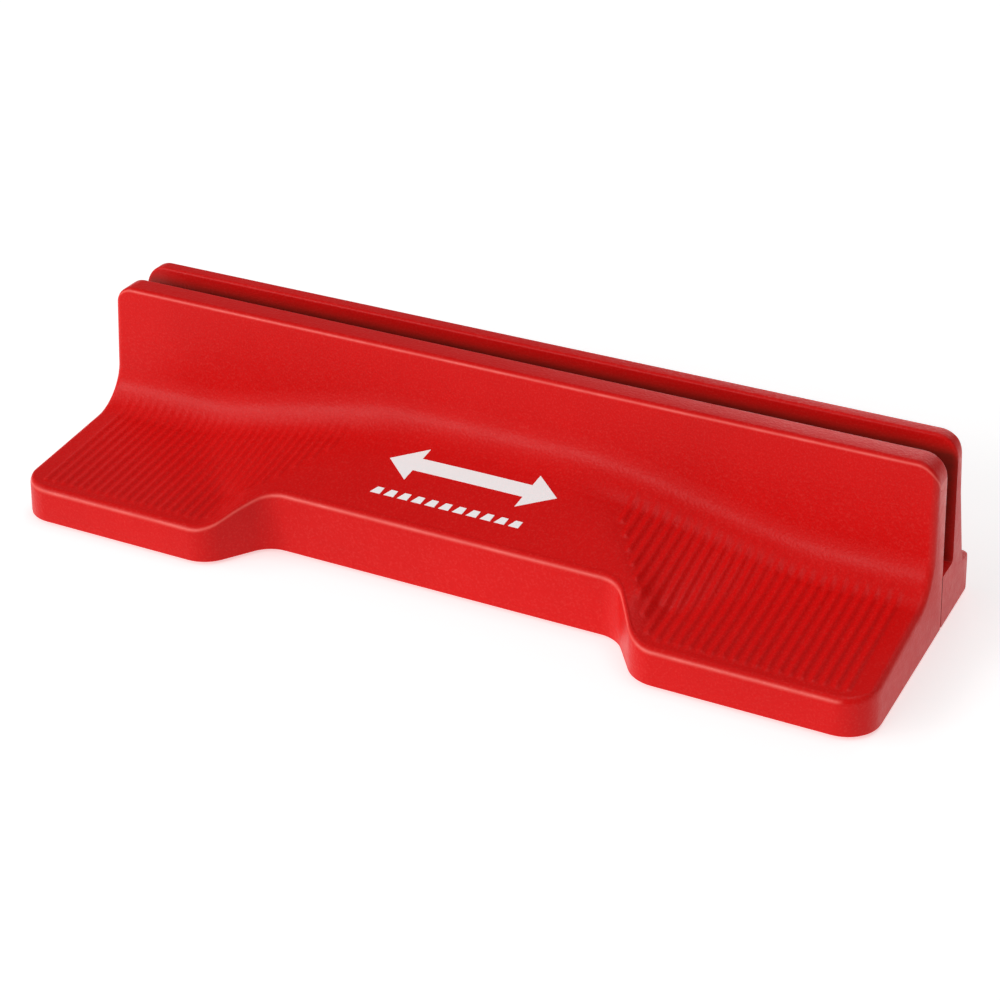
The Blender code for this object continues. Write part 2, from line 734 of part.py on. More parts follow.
def plate_screws(group, cutters, steel):
    """Small pan-head screws holding the base plate, heads downward."""
    head = PLATE_SCREW_HEAD_HEIGHT
    profile = [
        (0.0, 0.0),
        (PLATE_SCREW_HEAD_RADIUS - PLATE_SCREW_CHAMFER, 0.0),
        (PLATE_SCREW_HEAD_RADIUS, PLATE_SCREW_CHAMFER),
        (PLATE_SCREW_HEAD_RADIUS, head),
        (PLATE_SCREW_RADIUS, head),
        (PLATE_SCREW_RADIUS, PLATE_SCREW_LENGTH - PLATE_SCREW_TIP),
        (PLATE_SCREW_TIP, PLATE_SCREW_LENGTH),
        (0.0, PLATE_SCREW_LENGTH),
    ]
    for number, x in enumerate(PLATE_SCREW_SPOTS, 1):
        place = (x, *world(-PLATE_SCREW_SETBACK, 0.0))
        screw = turned(f"plate_screw_{number}", profile, place, False, group, steel)
        for slot in cross_cutters(f"plate_cross_{number}", place, False, PLATE_CROSS_DEPTH, cutters):
            cut(screw, slot)


def foot_pads(group, rubber):
    """Four grippy pads, two in the base plate and two under the jaw."""
    profile = [
        (0.0, 0.0),
        (PAD_RADIUS - PAD_CHAMFER, 0.0),
        (PAD_RADIUS, PAD_CHAMFER),
        (PAD_RADIUS, PAD_THICKNESS),
        (0.0, PAD_THICKNESS),
    ]
    rows = (("front", -PAD_FRONT_SETBACK), ("rear", PAD_REAR_SETBACK))
    for row, setback in rows:
        for label, x in (("left", -PAD_HALF_SPACING), ("right", PAD_HALF_SPACING)):
            y, _ = world(setback, 0.0)
            turned(f"foot_pad_{row}_{label}", profile, (x, y, 0.0), False, group, rubber)


def main():
    """Clear the scene and build every piece."""
    for item in list(bpy.data.objects):
        bpy.data.objects.remove(item, do_unlink=True)
    pieces = collection("scraper_edge_guide")
    cutters = collection("cutters")
    red = material("moulded_red", (0.62, 0.012, 0.012), 0.42)
    steel = material("bright_steel", (0.55, 0.56, 0.58), 0.35, 1.0)
    file_steel = material("file_steel", (0.34, 0.35, 0.37), 0.45, 1.0)
    brass = material("brass", (0.75, 0.56, 0.24), 0.3, 1.0)
    black = material("black_plastic", (0.03, 0.03, 0.032), 0.55)
    rubber = material("pad_rubber", (0.045, 0.045, 0.05), 0.85)
    shared = {"file_pocket": file_pocket(cutters), "slot_window": slot_window(cutters)}
    shared.update(dowel_bores(cutters))
    front_body(pieces, cutters, red, shared)
    rear_jaw(pieces, cutters, red, shared)
    file_blade(pieces, cutters, file_steel)
    jaw_fasteners(pieces, cutters, steel, brass)
    dowels(pieces, steel)
    base_plate(pieces, cutters, black)
    plate_screws(pieces, cutters, steel)
    foot_pads(pieces, rubber)


main()
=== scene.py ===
"""Looks for the scraper edge guide: moulded bar, hidden file, fasteners, pads and a plain studio.

Every surface is a function of two parameters worked out on a grid. Lengths are in metres, measured
from the seam between the two mouldings (y), the middle of the bar (x) and the underside of the bar
(z), and carried into the frame's own position at the end.
"""

import logging
import math
from dataclasses import dataclass
from enum import Enum
from typing import Callable, Sequence

import bmesh
import bpy
import numpy as np
from mathutils import Matrix, Vector

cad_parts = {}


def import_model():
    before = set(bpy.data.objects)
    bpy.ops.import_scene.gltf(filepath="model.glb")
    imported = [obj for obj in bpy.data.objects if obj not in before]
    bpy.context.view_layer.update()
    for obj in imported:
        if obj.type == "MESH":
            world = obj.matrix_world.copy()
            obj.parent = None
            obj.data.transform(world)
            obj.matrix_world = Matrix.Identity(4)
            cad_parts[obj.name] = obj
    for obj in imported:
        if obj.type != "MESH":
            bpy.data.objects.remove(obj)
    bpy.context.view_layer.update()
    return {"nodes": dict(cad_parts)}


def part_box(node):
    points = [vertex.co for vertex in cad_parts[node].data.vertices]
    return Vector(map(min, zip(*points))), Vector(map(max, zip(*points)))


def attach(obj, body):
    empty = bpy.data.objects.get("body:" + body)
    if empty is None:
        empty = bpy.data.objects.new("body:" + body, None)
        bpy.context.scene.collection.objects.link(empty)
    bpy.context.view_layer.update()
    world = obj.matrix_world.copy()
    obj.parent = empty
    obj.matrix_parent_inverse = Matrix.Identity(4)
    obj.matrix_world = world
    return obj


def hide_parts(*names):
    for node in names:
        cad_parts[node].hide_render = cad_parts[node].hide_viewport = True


log = logging.getLogger("scraper_edge_guide")

MM = 0.001
TAU = 2.0 * math.pi
CLOSEST = 0.00004  # metres between two stations
WELD = 1e-7  # metres within which points are one
WHITE = (1.0, 1.0, 1.0, 1.0)
Points = np.ndarray
Pairs = Sequence[tuple[float, float]]
Colour = tuple[float, float, float]
Stretch = tuple[float, float, float]
Material = bpy.types.Material
Socket = bpy.types.NodeSocket


class Side(Enum):
    """The two halves of the bar."""

    LEFT = -1
    RIGHT = 1


class Heading(Enum):
    """Which way a turned piece's own axis points on the bar."""

    UP = "up"
    REARWARD = "rearward"


# ---- shared mesh work ----


def unit(vectors: Points) -> Points:
    """Vectors along the last axis, each divided by its length."""
    return vectors / np.linalg.norm(vectors, axis=-1, keepdims=True)


def circle(angles: Points) -> Points:
    """The point (cos, sin) of each angle, along a new last axis."""
    return np.stack([np.cos(angles), np.sin(angles)], axis=-1)


def arc(centre: Points, radius: float, start: float, stop: float, steps: int) -> Points:
    """Points on a circular arc: centre plus radius times (cos, sin) of evenly spaced angles.

    Args:
        centre: One centre or an array of centres, (..., 2).
        radius: Radius of the arc.
        start: First angle in degrees.
        stop: Last angle in degrees.
        steps: Number of intervals.

    Returns:
        Array of shape (..., steps + 1, 2).
    """
    angles = np.radians(np.linspace(start, stop, steps + 1))
    ring = radius * circle(angles)
    return np.asarray(centre)[..., None, :] + ring


def corner_arc(corner: Points, back: Points, ahead: Points, radius: Points, steps: int) -> Points:
    """Rounding between two straight runs that meet at a corner.

    The centre lies on the bisector at radius / sin(half angle); the arc sweeps between the two
    points where the circle touches the runs, radius / tan(half angle) from the corner.

    Args:
        corner: Corner points, (..., 2).
        back: Unit directions from the corner to the run before it.
        ahead: Unit directions from the corner to the run after it.
        radius: Radius for each corner, broadcast against the corners.
        steps: Number of intervals on each arc.

    Returns:
        Array of shape (..., steps + 1, 2).
    """
    corner, back, ahead = np.broadcast_arrays(corner, back, ahead)
    radius = np.broadcast_to(radius, corner.shape[:-1])[..., None]
    half = np.arccos(np.clip(np.sum(back * ahead, axis=-1, keepdims=True), -1.0, 1.0)) / 2.0
    centre = corner + unit(back + ahead) * radius / np.sin(half)
    reach = radius / np.tan(half)
    start = corner + back * reach - centre
    stop = corner + ahead * reach - centre
    first = np.arctan2(start[..., 1], start[..., 0])
    sweep = (np.arctan2(stop[..., 1], stop[..., 0]) - first + math.pi) % TAU - math.pi
    angles = first[..., None] + sweep[..., None] * np.linspace(0.0, 1.0, steps + 1)
    return centre[..., None, :] + radius[..., None] * circle(angles)


def rounded_path(points: Pairs, radii: Sequence[float], steps: int) -> Points:
    """An open path whose inner corners become arcs.

    Args:
        points: Corner points from first to last.
        radii: One radius for each inner corner.
        steps: Intervals on each arc.

    Returns:
        The path's points, (count, 2).
    """
    path = np.asarray(points, dtype=float)
    back = unit(path[:-2] - path[1:-1])
    ahead = unit(path[2:] - path[1:-1])
    arcs = corner_arc(path[1:-1], back, ahead, np.asarray(radii), steps)
    return np.concatenate([path[:1], arcs.reshape(-1, 2), path[-1:]])


def rounded_loop(points: Pairs, radius: float, steps: int) -> Points:
    """A closed outline with every corner rounded to the same radius."""
    ring = [points[-1], *points, points[0]]
    return rounded_path(ring, [radius] * len(points), steps)[1:-1]


@dataclass
class Piece:
    """A finished mesh piece and what it stands for."""

    name: str
    item: bpy.types.Object

    @classmethod
    def from_grid(cls, name: str, grid: Points, wrap_rows: bool = False) -> "Piece":
        """One closed surface from a grid of rows whose columns close on themselves.

        Each cell joins point (row, column) to its neighbours; the first and last rows are capped
        unless the rows wrap too, and rows that shrink to a point are welded into a pole.

        Args:
            name: Name of the piece.
            grid: Points, (rows, columns, 3).
            wrap_rows: Whether the last row joins the first.

        Returns:
            The piece, facing outward.
        """
        rows, columns = grid.shape[:2]
        row = np.arange(rows if wrap_rows else rows - 1)[:, None] * columns
        column = np.arange(columns)[None, :]
        following = (column + 1) % columns
        below = (row + columns) % (rows * columns)
        cells = np.stack([row + column, row + following, below + following, below + column], axis=-1)
        faces = cells.reshape(-1, 4).tolist()
        if not wrap_rows:
            last = (rows - 1) * columns
            faces += [list(range(columns)), list(range(last, last + columns))]
        mesh = bpy.data.meshes.new(name)
        mesh.from_pydata(grid.reshape(-1, 3).tolist(), [], faces)
        piece = cls(name, bpy.data.objects.new(name, mesh))
        bpy.context.scene.collection.objects.link(piece.item)
        piece.close()
        return piece

    @classmethod
    def standing(
        cls, name: str, grid: Points, place: Points, heading: Heading, wrap_rows: bool = False
    ) -> "Piece":
        """A piece from a grid on its own upright axis, carried to its place."""
        return cls.from_grid(name, aimed(grid, place, heading), wrap_rows)

    def close(self) -> None:
        """Merge doubled points and turn every face outward."""
        mesh = self.item.data
        work = bmesh.new()
        work.from_mesh(mesh)
        bmesh.ops.remove_doubles(work, verts=work.verts, dist=WELD)
        bmesh.ops.dissolve_degenerate(work, edges=work.edges, dist=WELD)
        bmesh.ops.recalc_face_normals(work, faces=work.faces)
        work.to_mesh(mesh)
        work.free()

    def paint(self, name: str, values: Callable[[Points], Points]) -> None:
        """Store a number at each point for the finish to read.

        Args:
            name: Name the finish reads it by.
            values: Works the numbers out from the points' places, (count, 3).
        """
        mesh = self.item.data
        places = np.empty(len(mesh.vertices) * 3, np.float32)
        mesh.vertices.foreach_get("co", places)
        layer = mesh.attributes.new(name, "FLOAT", "POINT")
        numbers = values(places.reshape(-1, 3).astype(float))
        layer.data.foreach_set("value", numbers.astype(np.float32))

    def without(self, cutters: Sequence["Piece"]) -> "Piece":
        """Take the cutters' shapes out of this piece and delete them.

        Args:
            cutters: Closed pieces, used up by the cut.

        Returns:
            This piece.
        """
        group = bpy.data.collections.new(f"{self.name}_cutters")
        for cutter in cutters:
            bpy.context.scene.collection.objects.unlink(cutter.item)
            group.objects.link(cutter.item)
        bpy.context.scene.collection.children.link(group)
        step = self.item.modifiers.new("cut", "BOOLEAN")
        step.operation = "DIFFERENCE"
        step.solver = "MANIFOLD"
        step.operand_type = "COLLECTION"
        step.collection = group
        bpy.context.view_layer.update()
        graph = bpy.context.evaluated_depsgraph_get()
        mesh = bpy.data.meshes.new_from_object(self.item.evaluated_get(graph))
        self.item.modifiers.clear()
        self.item.data = mesh
        mesh.name = self.name
        for cutter in cutters:
            bpy.data.objects.remove(cutter.item, do_unlink=True)
        bpy.data.collections.remove(group)
        return self

    def finish(self, finish: Material, slot: str, *nodes: str, crease: float = 34.0) -> None:
        """Shade, dress and hand the piece to the frame.

        Args:
            finish: Material for the whole piece.
            slot: Not used.
            nodes: CAD nodes the piece stands for.
            crease: Angle in degrees past which an edge stays crisp.
        """
        mesh = self.item.data
        mesh.materials.clear()
        mesh.materials.append(finish)
        mesh.shade_smooth()
        mesh.set_sharp_from_angle(angle=math.radians(crease))
        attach(self.item, "root")
        if nodes:
            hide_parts(*nodes)
        log.info("%s: %d points, %d faces", self.name, len(mesh.vertices), len(mesh.polygons))


# ---- the frame the pieces are placed in ----


@dataclass(frozen=True)
class Bar:
    """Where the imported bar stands, and the sizes that several pieces share."""

    half: float
    seam: float
    base: float
    height: float
    front: float
    rear: float
    end_lean: float = math.tan(math.radians(3.0))
    end_rounding: float = 1.2 * MM
    corner: float = 3.6 * MM
    gap: float = 0.3 * MM
    slot: float = 5.5 * MM
    floor: float = 9.2 * MM
    screw_height: float = 2.7 * MM
    bore_sides: int = 56
    wear_width: float = 0.6 * MM
    wear_share: float = 0.15

    @classmethod
    def from_frame(cls) -> "Bar":
        """Read the bar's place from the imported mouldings.

        Returns:
            The bar.
        """
        body_low, body_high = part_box("front_body")
        _, jaw_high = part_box("rear_jaw")
        seam = body_high.y
        height = body_high.z - body_low.z
        return cls(body_high.x, seam, body_low.z, height, seam - body_low.y, jaw_high.y - seam)

    def placed(self, x: Points, y: Points, z: Points) -> Points:
        """Bar sizes to frame places: shift y by the seam and z by the underside."""
        return np.stack(np.broadcast_arrays(x, y + self.seam, z + self.base), axis=-1)

    def leaned(self, x: Points, y: Points, z: Points) -> Points:
        """Like placed, with x drawn in with height so that both ends lean."""
        return self.placed(x * (1.0 - z * self.end_lean / self.half), y, z)

    def measured(self, places: Points) -> tuple[Points, Points, Points]:
        """Frame places back to bar sizes x, y and z, with x as it was before the ends leaned."""
        z = places[:, 2] - self.base
        return places[:, 0] / (1.0 - z * self.end_lean / self.half), places[:, 1] - self.seam, z

    def fall(self, x: Points, radius: float) -> Points:
        """How far a surface drops inside a rounded end: radius less the circle's height there."""
        inside = np.clip(radius - (self.half - np.abs(x)), 0.0, radius)
        return radius - np.sqrt(radius**2 - inside**2)

    def end_places(self, radius: float, steps: int) -> Points:
        """Places along the bar that follow a rounding of that radius at its end."""
        return self.half - radius * (1.0 - np.cos(np.linspace(0.0, math.pi / 2.0, steps + 1)))

    def end_wear(self, x: Points) -> Points:
        """Faint rub at both ends: a bell of the distance from the end."""
        return bell(self.half - np.abs(x), self.wear_width) * self.wear_share

    def moulding(
        self, name: str, stations: Points, profile: Points, cutters: Sequence[Piece]
    ) -> Piece:
        """A body from its profiles at each station, leaned at its ends and cut."""
        grid = self.leaned(stations[:, None], profile[..., 0], profile[..., 1])
        return Piece.from_grid(name, grid).without(cutters)

    def bores(
        self, name: str, profile: Pairs, spots: Sequence[float], y: float, heading: Heading
    ) -> list[Piece]:
        """The same turned cutter at each spot along the bar.

        Args:
            name: Start of the cutters' names.
            profile: (radius, distance) pairs along the cutter's own axis.
            spots: Places along the bar.
            y: Distance of the cutter's foot from the seam.
            heading: Where its axis points; one that points to the rear lies at the screws' height.

        Returns:
            The cutters.
        """
        grid = turned_grid(np.array(profile), self.bore_sides)
        z = self.screw_height if heading is Heading.REARWARD else 0.0
        return [
            Piece.standing(f"{name}_{number}", grid, self.placed(x, y, z), heading)
            for number, x in enumerate(spots, 1)
        ]


def bell(value: Points, width: float) -> Points:
    """A bell curve: e to the minus square of value over width."""
    return np.exp(-((value / width) ** 2))


def polished_highlight(across: Points, rise: Points, radius: float) -> Points:
    """How polished each point is round a convex edge, with a painted highlight band on it.

    A bell of the angle round the edge's centre, peaking a third of the way up where the painted
    highlight stands in for the key light's reflection, times a bell of the distance from the
    edge's own surface.

    Args:
        across: Distance inward from the edge's centre line, negative towards the outer face.
        rise: Height above the edge's centre line.
        radius: Radius of the edge.

    Returns:
        Share from 0 to 1.
    """
    peak, spread, skin = 0.52, 0.21, 0.12 * MM
    angle = np.arctan2(rise, -across)
    return bell(angle - peak, spread) * bell(np.hypot(across, rise) - radius, skin)


def mirrored(places: Points) -> Points:
    """Places and their mirror images, each at least the closest spacing from the one before.

    Args:
        places: Distances from the middle, in any order.

    Returns:
        Sorted places from the left end to the right.
    """
    ordered = np.unique(np.round(np.abs(places), 9))
    kept = [ordered[0]]
    for place in ordered[1:]:
        if place - kept[-1] >= CLOSEST:
            kept.append(place)
    kept[-1] = ordered[-1]
    half = np.array(kept)
    return np.concatenate([-half[::-1], half[half > 0.0]])


# ---- simple closed bodies ----


def turned_grid(profile: Points, sides: int) -> Points:
    """A turned surface: each (radius, height) pair swept to (r cos t, r sin t, h).

    Args:
        profile: (radius, height) pairs, (count, 2).
        sides: Number of points round the axis.

    Returns:
        Grid of shape (count, sides, 3).
    """
    angles = np.linspace(0.0, TAU, sides, endpoint=False)
    radius = profile[:, 0, None]
    height = np.broadcast_to(profile[:, 1, None], (len(profile), sides))
    return np.stack([radius * np.cos(angles), radius * np.sin(angles), height], axis=-1)


def aimed(grid: Points, place: Points, heading: Heading) -> Points:
    """Carry a grid that stands on its own upright axis to a place.

    Args:
        grid: Points, (..., 3).
        place: Where the axis starts.
        heading: Where the axis points; to the rear, y takes the height and z the depth turned over.

    Returns:
        The grid in its place.
    """
    if heading is Heading.REARWARD:
        grid = np.stack([grid[..., 0], grid[..., 2], -grid[..., 1]], axis=-1)
    return grid + np.asarray(place)


def raised_grid(outline: Points, levels: Pairs) -> Points:
    """A flat outline carried up through (inset, height) levels, each inset pulling it inward.

    The inset moves every point along the outline's inward normal, found from its two neighbours.

    Args:
        outline: Closed outline, counter-clockwise, (count, 2).
        levels: (inset, height) pairs from bottom to top.

    Returns:
        Grid of shape (levels, count, 3).
    """
    tangent = unit(np.roll(outline, -1, axis=0) - np.roll(outline, 1, axis=0))
    inward = np.stack([-tangent[:, 1], tangent[:, 0]], axis=-1)
    rows = [(outline + inset * inward, np.full(len(outline), height)) for inset, height in levels]
    return np.stack([np.column_stack(row) for row in rows])


def block_grid(low: Sequence[float], high: Sequence[float]) -> Points:
    """A plain box between two corners, as a four-point outline carried from bottom to top."""
    outline = np.array([(low[0], low[1]), (high[0], low[1]), (high[0], high[1]), (low[0], high[1])])
    return raised_grid(outline, [(0.0, low[2]), (0.0, high[2])])


# ---- finishes ----


class Nodes:
    """A short way to write a material's node tree."""

    def __init__(self, name: str) -> None:
        """Start a material with its shader and Object coordinates.

        Args:
            name: Name of the material.
        """
        self.material = bpy.data.materials.new(name)
        self.material.use_nodes = True
        self.tree = self.material.node_tree
        self.shader = self.tree.nodes["Principled BSDF"]
        self.place = self.add("ShaderNodeTexCoord").outputs["Object"]

    def add(self, kind: str, **settings: object) -> bpy.types.Node:
        """A new node with its properties set.

        Args:
            kind: Blender's name for the node.
            settings: Properties to set on it.

        Returns:
            The node.
        """
        node = self.tree.nodes.new(kind)
        for key, value in settings.items():
            setattr(node, key, value)
        return node

    def feed(self, socket: Socket, value: object) -> None:
        """Link a socket to another, or set it to a constant.

        Args:
            socket: Input to feed.
            value: A socket or a constant.
        """
        if isinstance(value, Socket):
            self.tree.links.new(value, socket)
        else:
            socket.default_value = value

    def fill(self, node: bpy.types.Node, **values: object) -> None:
        """Feed a node's inputs by name, with underscores for spaces."""
        for name, value in values.items():
            self.feed(node.inputs[name.replace("_", " ")], value)

    def dress(self, **values: object) -> None:
        """Feed the shader's inputs by name, with underscores for spaces."""
        self.fill(self.shader, **values)

    def noise(self, size: float, detail: float = 2.0, stretch: Stretch = (1.0, 1.0, 1.0)) -> Socket:
        """Cloudy noise.

        Args:
            size: Size of its features.
            detail: How many finer layers it has.
            stretch: Scale along each axis; below one draws it out.

        Returns:
            The noise, about 0.5.
        """
        mapping = self.add("ShaderNodeMapping")
        self.fill(mapping, Vector=self.place, Scale=stretch)
        node = self.add("ShaderNodeTexNoise")
        self.fill(node, Vector=mapping.outputs["Vector"], Scale=1.0 / size, Detail=detail)
        return node.outputs["Fac"]

    def cells(self, size: float) -> Socket:
        """Distance to the nearest of scattered points.

        Args:
            size: How far apart they are, about.

        Returns:
            The distance, as a share of their spacing.
        """
        node = self.add("ShaderNodeTexVoronoi")
        self.fill(node, Vector=self.place, Scale=1.0 / size)
        return node.outputs["Distance"]

    def painted(self, name: str) -> Socket:
        """A number stored at each point of the piece."""
        return self.add("ShaderNodeAttribute", attribute_name=name).outputs["Fac"]

    def span(self, value: Socket, low: float, high: float, to_low: float, to_high: float) -> Socket:
        """Map a range of values onto another, held at its ends.

        Args:
            value: What is mapped.
            low: Start of its range.
            high: End of its range.
            to_low: Result at low.
            to_high: Result at high.

        Returns:
            The mapped value.
        """
        node = self.add("ShaderNodeMapRange")
        self.fill(node, Value=value, From_Min=low, From_Max=high, To_Min=to_low, To_Max=to_high)
        return node.outputs["Result"]

    def calculate(self, operation: str, one: object, two: object) -> Socket:
        """Two numbers put together.

        Args:
            operation: Name of the operation.
            one: First number.
            two: Second number.

        Returns:
            The result.
        """
        node = self.add("ShaderNodeMath", operation=operation)
        self.feed(node.inputs[0], one)
        self.feed(node.inputs[1], two)
        return node.outputs["Value"]

    def plus(self, one: object, two: object) -> Socket:
        """Sum of two numbers."""
        return self.calculate("ADD", one, two)

    def times(self, one: object, two: object) -> Socket:
        """Product of two numbers."""
        return self.calculate("MULTIPLY", one, two)

    def blend(self, share: object, one: object, two: Colour) -> Socket:
        """Mix a plain colour into another.

        Args:
            share: How much of the second colour shows.
            one: First colour, plain or a socket.
            two: Second colour.

        Returns:
            The mixed colour.
        """
        node = self.add("ShaderNodeMix", data_type="RGBA")
        first = (*one, 1.0) if isinstance(one, tuple) else one
        self.fill(node, Factor=share, A=first, B=(*two, 1.0))
        return node.outputs["Result"]

    def relief(self, height: Socket, depth: float, strength: float) -> None:
        """Raise the surface by a pattern.

        Args:
            height: The pattern.
            depth: Height of its full range.
            strength: How strongly it shows.
        """
        node = self.add("ShaderNodeBump")
        self.fill(node, Strength=strength, Distance=depth, Height=height)
        self.fill(self.shader, Normal=node.outputs["Normal"])


@dataclass(frozen=True)
class MouldedPlastic:
    """Spark-textured moulding, a little glossier and paler where hands have rubbed its edges, and
    paler there again by a painted highlight.
    """

    name: str
    colour: Colour
    shade: Colour
    # pale colour of the specks, of the worn edges and of the painted highlights on them
    pale_wear_and_highlight: Colour
    # colour of the painted shade deep in the slot and along the seam
    deep_shade: Colour = (0.13, 0.020, 0.012)
    roughness: float = 0.36
    specular: float = 0.13
    cloud: float = 26.0 * MM
    scuff: float = 1.3 * MM
    scuff_stretch: Stretch = (0.25, 1.0, 1.0)
    grain: float = 0.35 * MM
    depth: float = 0.040 * MM
    specks: float = 0.09
    paling: float = 0.9
    gloss: float = 0.12

    def build(self) -> Material:
        """Make the material.

        Returns:
            The material.
        """
        nodes = Nodes(self.name)
        cloud, fine = nodes.noise(self.cloud, 3.0), nodes.noise(self.grain, 3.0)
        pits = nodes.cells(self.grain * 1.6)
        scuff = nodes.noise(self.scuff, 4.0, self.scuff_stretch)
        # rubbed_and_highlit: hand wear plus painted highlight bands, read from the edge attribute
        rubbed_and_highlit = nodes.times(nodes.painted("edge"), nodes.span(scuff, 0.35, 0.75, 0.6, 1.0))
        # painted shade: darker deep in the slot and along the seam between the mouldings
        grime = nodes.times(nodes.painted("grime"), nodes.span(scuff, 0.3, 0.7, 0.85, 1.0))
        base = nodes.blend(nodes.span(cloud, 0.35, 0.7, 0.0, 1.0), self.shade, self.colour)
        base = nodes.blend(nodes.span(fine, 0.50, 0.72, 0.0, self.specks), base, self.pale_wear_and_highlight)
        # pales the edges: wear together with a painted highlight
        base = nodes.blend(nodes.times(rubbed_and_highlit, self.paling), base, self.pale_wear_and_highlight)
        base = nodes.blend(grime, base, self.deep_shade)
        rough = nodes.span(scuff, 0.3, 0.8, self.roughness + 0.05, self.roughness - 0.04)
        rough = nodes.plus(rough, nodes.times(rubbed_and_highlit, -self.gloss))
        nodes.dress(Base_Color=base, Roughness=rough, Specular_IOR_Level=self.specular, IOR=1.5)
        nodes.relief(nodes.plus(fine, nodes.times(pits, 0.6)), self.depth, 0.9)
        return nodes.material


@dataclass(frozen=True)
class WorkedMetal:
    """Metal with drawn tool marks along one axis, cloudy tarnish and fine pitting."""

    name: str
    colour: Colour
    tarnish: Colour
    roughness: float
    marks: Stretch = (1.0, 1.0, 1.0)
    mark_size: float = 0.12 * MM
    tarnish_size: float = 4.0 * MM
    pit_size: float = 0.5 * MM
    depth: float = 0.006 * MM

    def build(self) -> Material:
        """Make the material.

        Returns:
            The material.
        """
        nodes = Nodes(self.name)
        cloud = nodes.noise(self.tarnish_size, 4.0)
        marks = nodes.noise(self.mark_size, 3.0, self.marks)
        pits = nodes.cells(self.pit_size)
        share = nodes.span(cloud, 0.4, 0.7, 0.0, 0.8)
        base = nodes.blend(share, self.colour, self.tarnish)
        rough = nodes.span(cloud, 0.3, 0.75, self.roughness - 0.06, self.roughness + 0.14)
        rough = nodes.plus(rough, nodes.span(marks, 0.3, 0.7, -0.04, 0.06))
        nodes.dress(Base_Color=base, Roughness=rough, Metallic=1.0)
        nodes.relief(nodes.plus(marks, nodes.times(pits, 0.3)), self.depth, 0.5)
        return nodes.material


@dataclass(frozen=True)
class PadRubber:
    """Matt rubber with a fine bloom and dust caught on it."""

    name: str
    colour: Colour
    dust: Colour
    roughness: float = 0.8
    bloom: float = 2.2 * MM
    grain: float = 0.22 * MM
    depth: float = 0.02 * MM

    def build(self) -> Material:
        """Make the material.

        Returns:
            The material.
        """
        nodes = Nodes(self.name)
        bloom = nodes.noise(self.bloom, 4.0)
        grain = nodes.noise(self.grain, 2.0)
        share = nodes.span(bloom, 0.45, 0.8, 0.0, 0.35)
        rough = nodes.span(grain, 0.3, 0.7, self.roughness - 0.08, self.roughness + 0.08)
        nodes.dress(Base_Color=nodes.blend(share, self.colour, self.dust), Roughness=rough)
        nodes.relief(grain, self.depth, 0.6)
        return nodes.material


@dataclass(frozen=True)
class PadInk:
    """Opaque pad-printed ink: even, slightly satin, with faint pinholes."""

    name: str
    colour: Colour
    thin: Colour
    pinhole: float = 0.18 * MM
    depth: float = 0.006 * MM

    def build(self) -> Material:
        """Make the material.

        Returns:
            The material.
        """
        nodes = Nodes(self.name)
        holes = nodes.noise(self.pinhole, 3.0)
        share = nodes.span(holes, 0.70, 0.80, 0.0, 0.5)
        rough = nodes.span(holes, 0.3, 0.7, 0.42, 0.55)
        nodes.dress(Base_Color=nodes.blend(share, self.colour, self.thin), Roughness=rough)
        nodes.relief(holes, self.depth, 0.4)
        return nodes.material


# ---- front moulding ----


@dataclass(frozen=True)
class Ribs:
    """Raised ribs on each hand rest, running front to back with rounded ends."""

    pitch: float = 1.76 * MM
    first: float = 39.0 * MM
    inner_count: int = 7
    outer_count: int = 19
    half_width: float = 0.80 * MM
    relief: float = 0.23 * MM
    front: float = 32.45 * MM
    back: float = 6.2 * MM
    run_out: float = 5.0 * MM
    inner_at: float = 26.1 * MM
    inner_front: float = 13.0 * MM
    inner_slope: float = 1.445

    def centres(self) -> Points:
        """Distance of each rib from the middle of the bar."""
        return self.first + self.pitch * np.arange(-self.inner_count, self.outer_count)

    def height(self, x: Points, y: Points) -> Points:
        """Relief of the rib pattern.

        Each point takes its nearest rib; the relief is a half cosine of its distance from the
        rib's spine, which stops at the front line, at the slanting inner line and at the wall's
        fillet.

        Args:
            x: Place along the bar.
            y: Distance from the seam, negative in front of it.

        Returns:
            Relief above the plain surface.
        """
        number = np.round((np.abs(x) - self.first) / self.pitch)
        number = np.clip(number, -self.inner_count, self.outer_count - 1)
        centre = self.first + number * self.pitch
        tip = np.minimum(self.front, self.inner_front + self.inner_slope * (centre - self.inner_at))
        front = 0.8 * self.half_width - tip
        past = np.maximum(np.maximum(front - y, y + self.back), 0.0)
        distance = np.hypot(np.abs(x) - centre, past)
        share = np.clip(distance / self.half_width, 0.0, 1.0)
        fade = np.clip((-self.back - y) / self.run_out, 0.0, 1.0)
        return self.relief * fade * 0.5 * (1.0 + np.cos(math.pi * share))


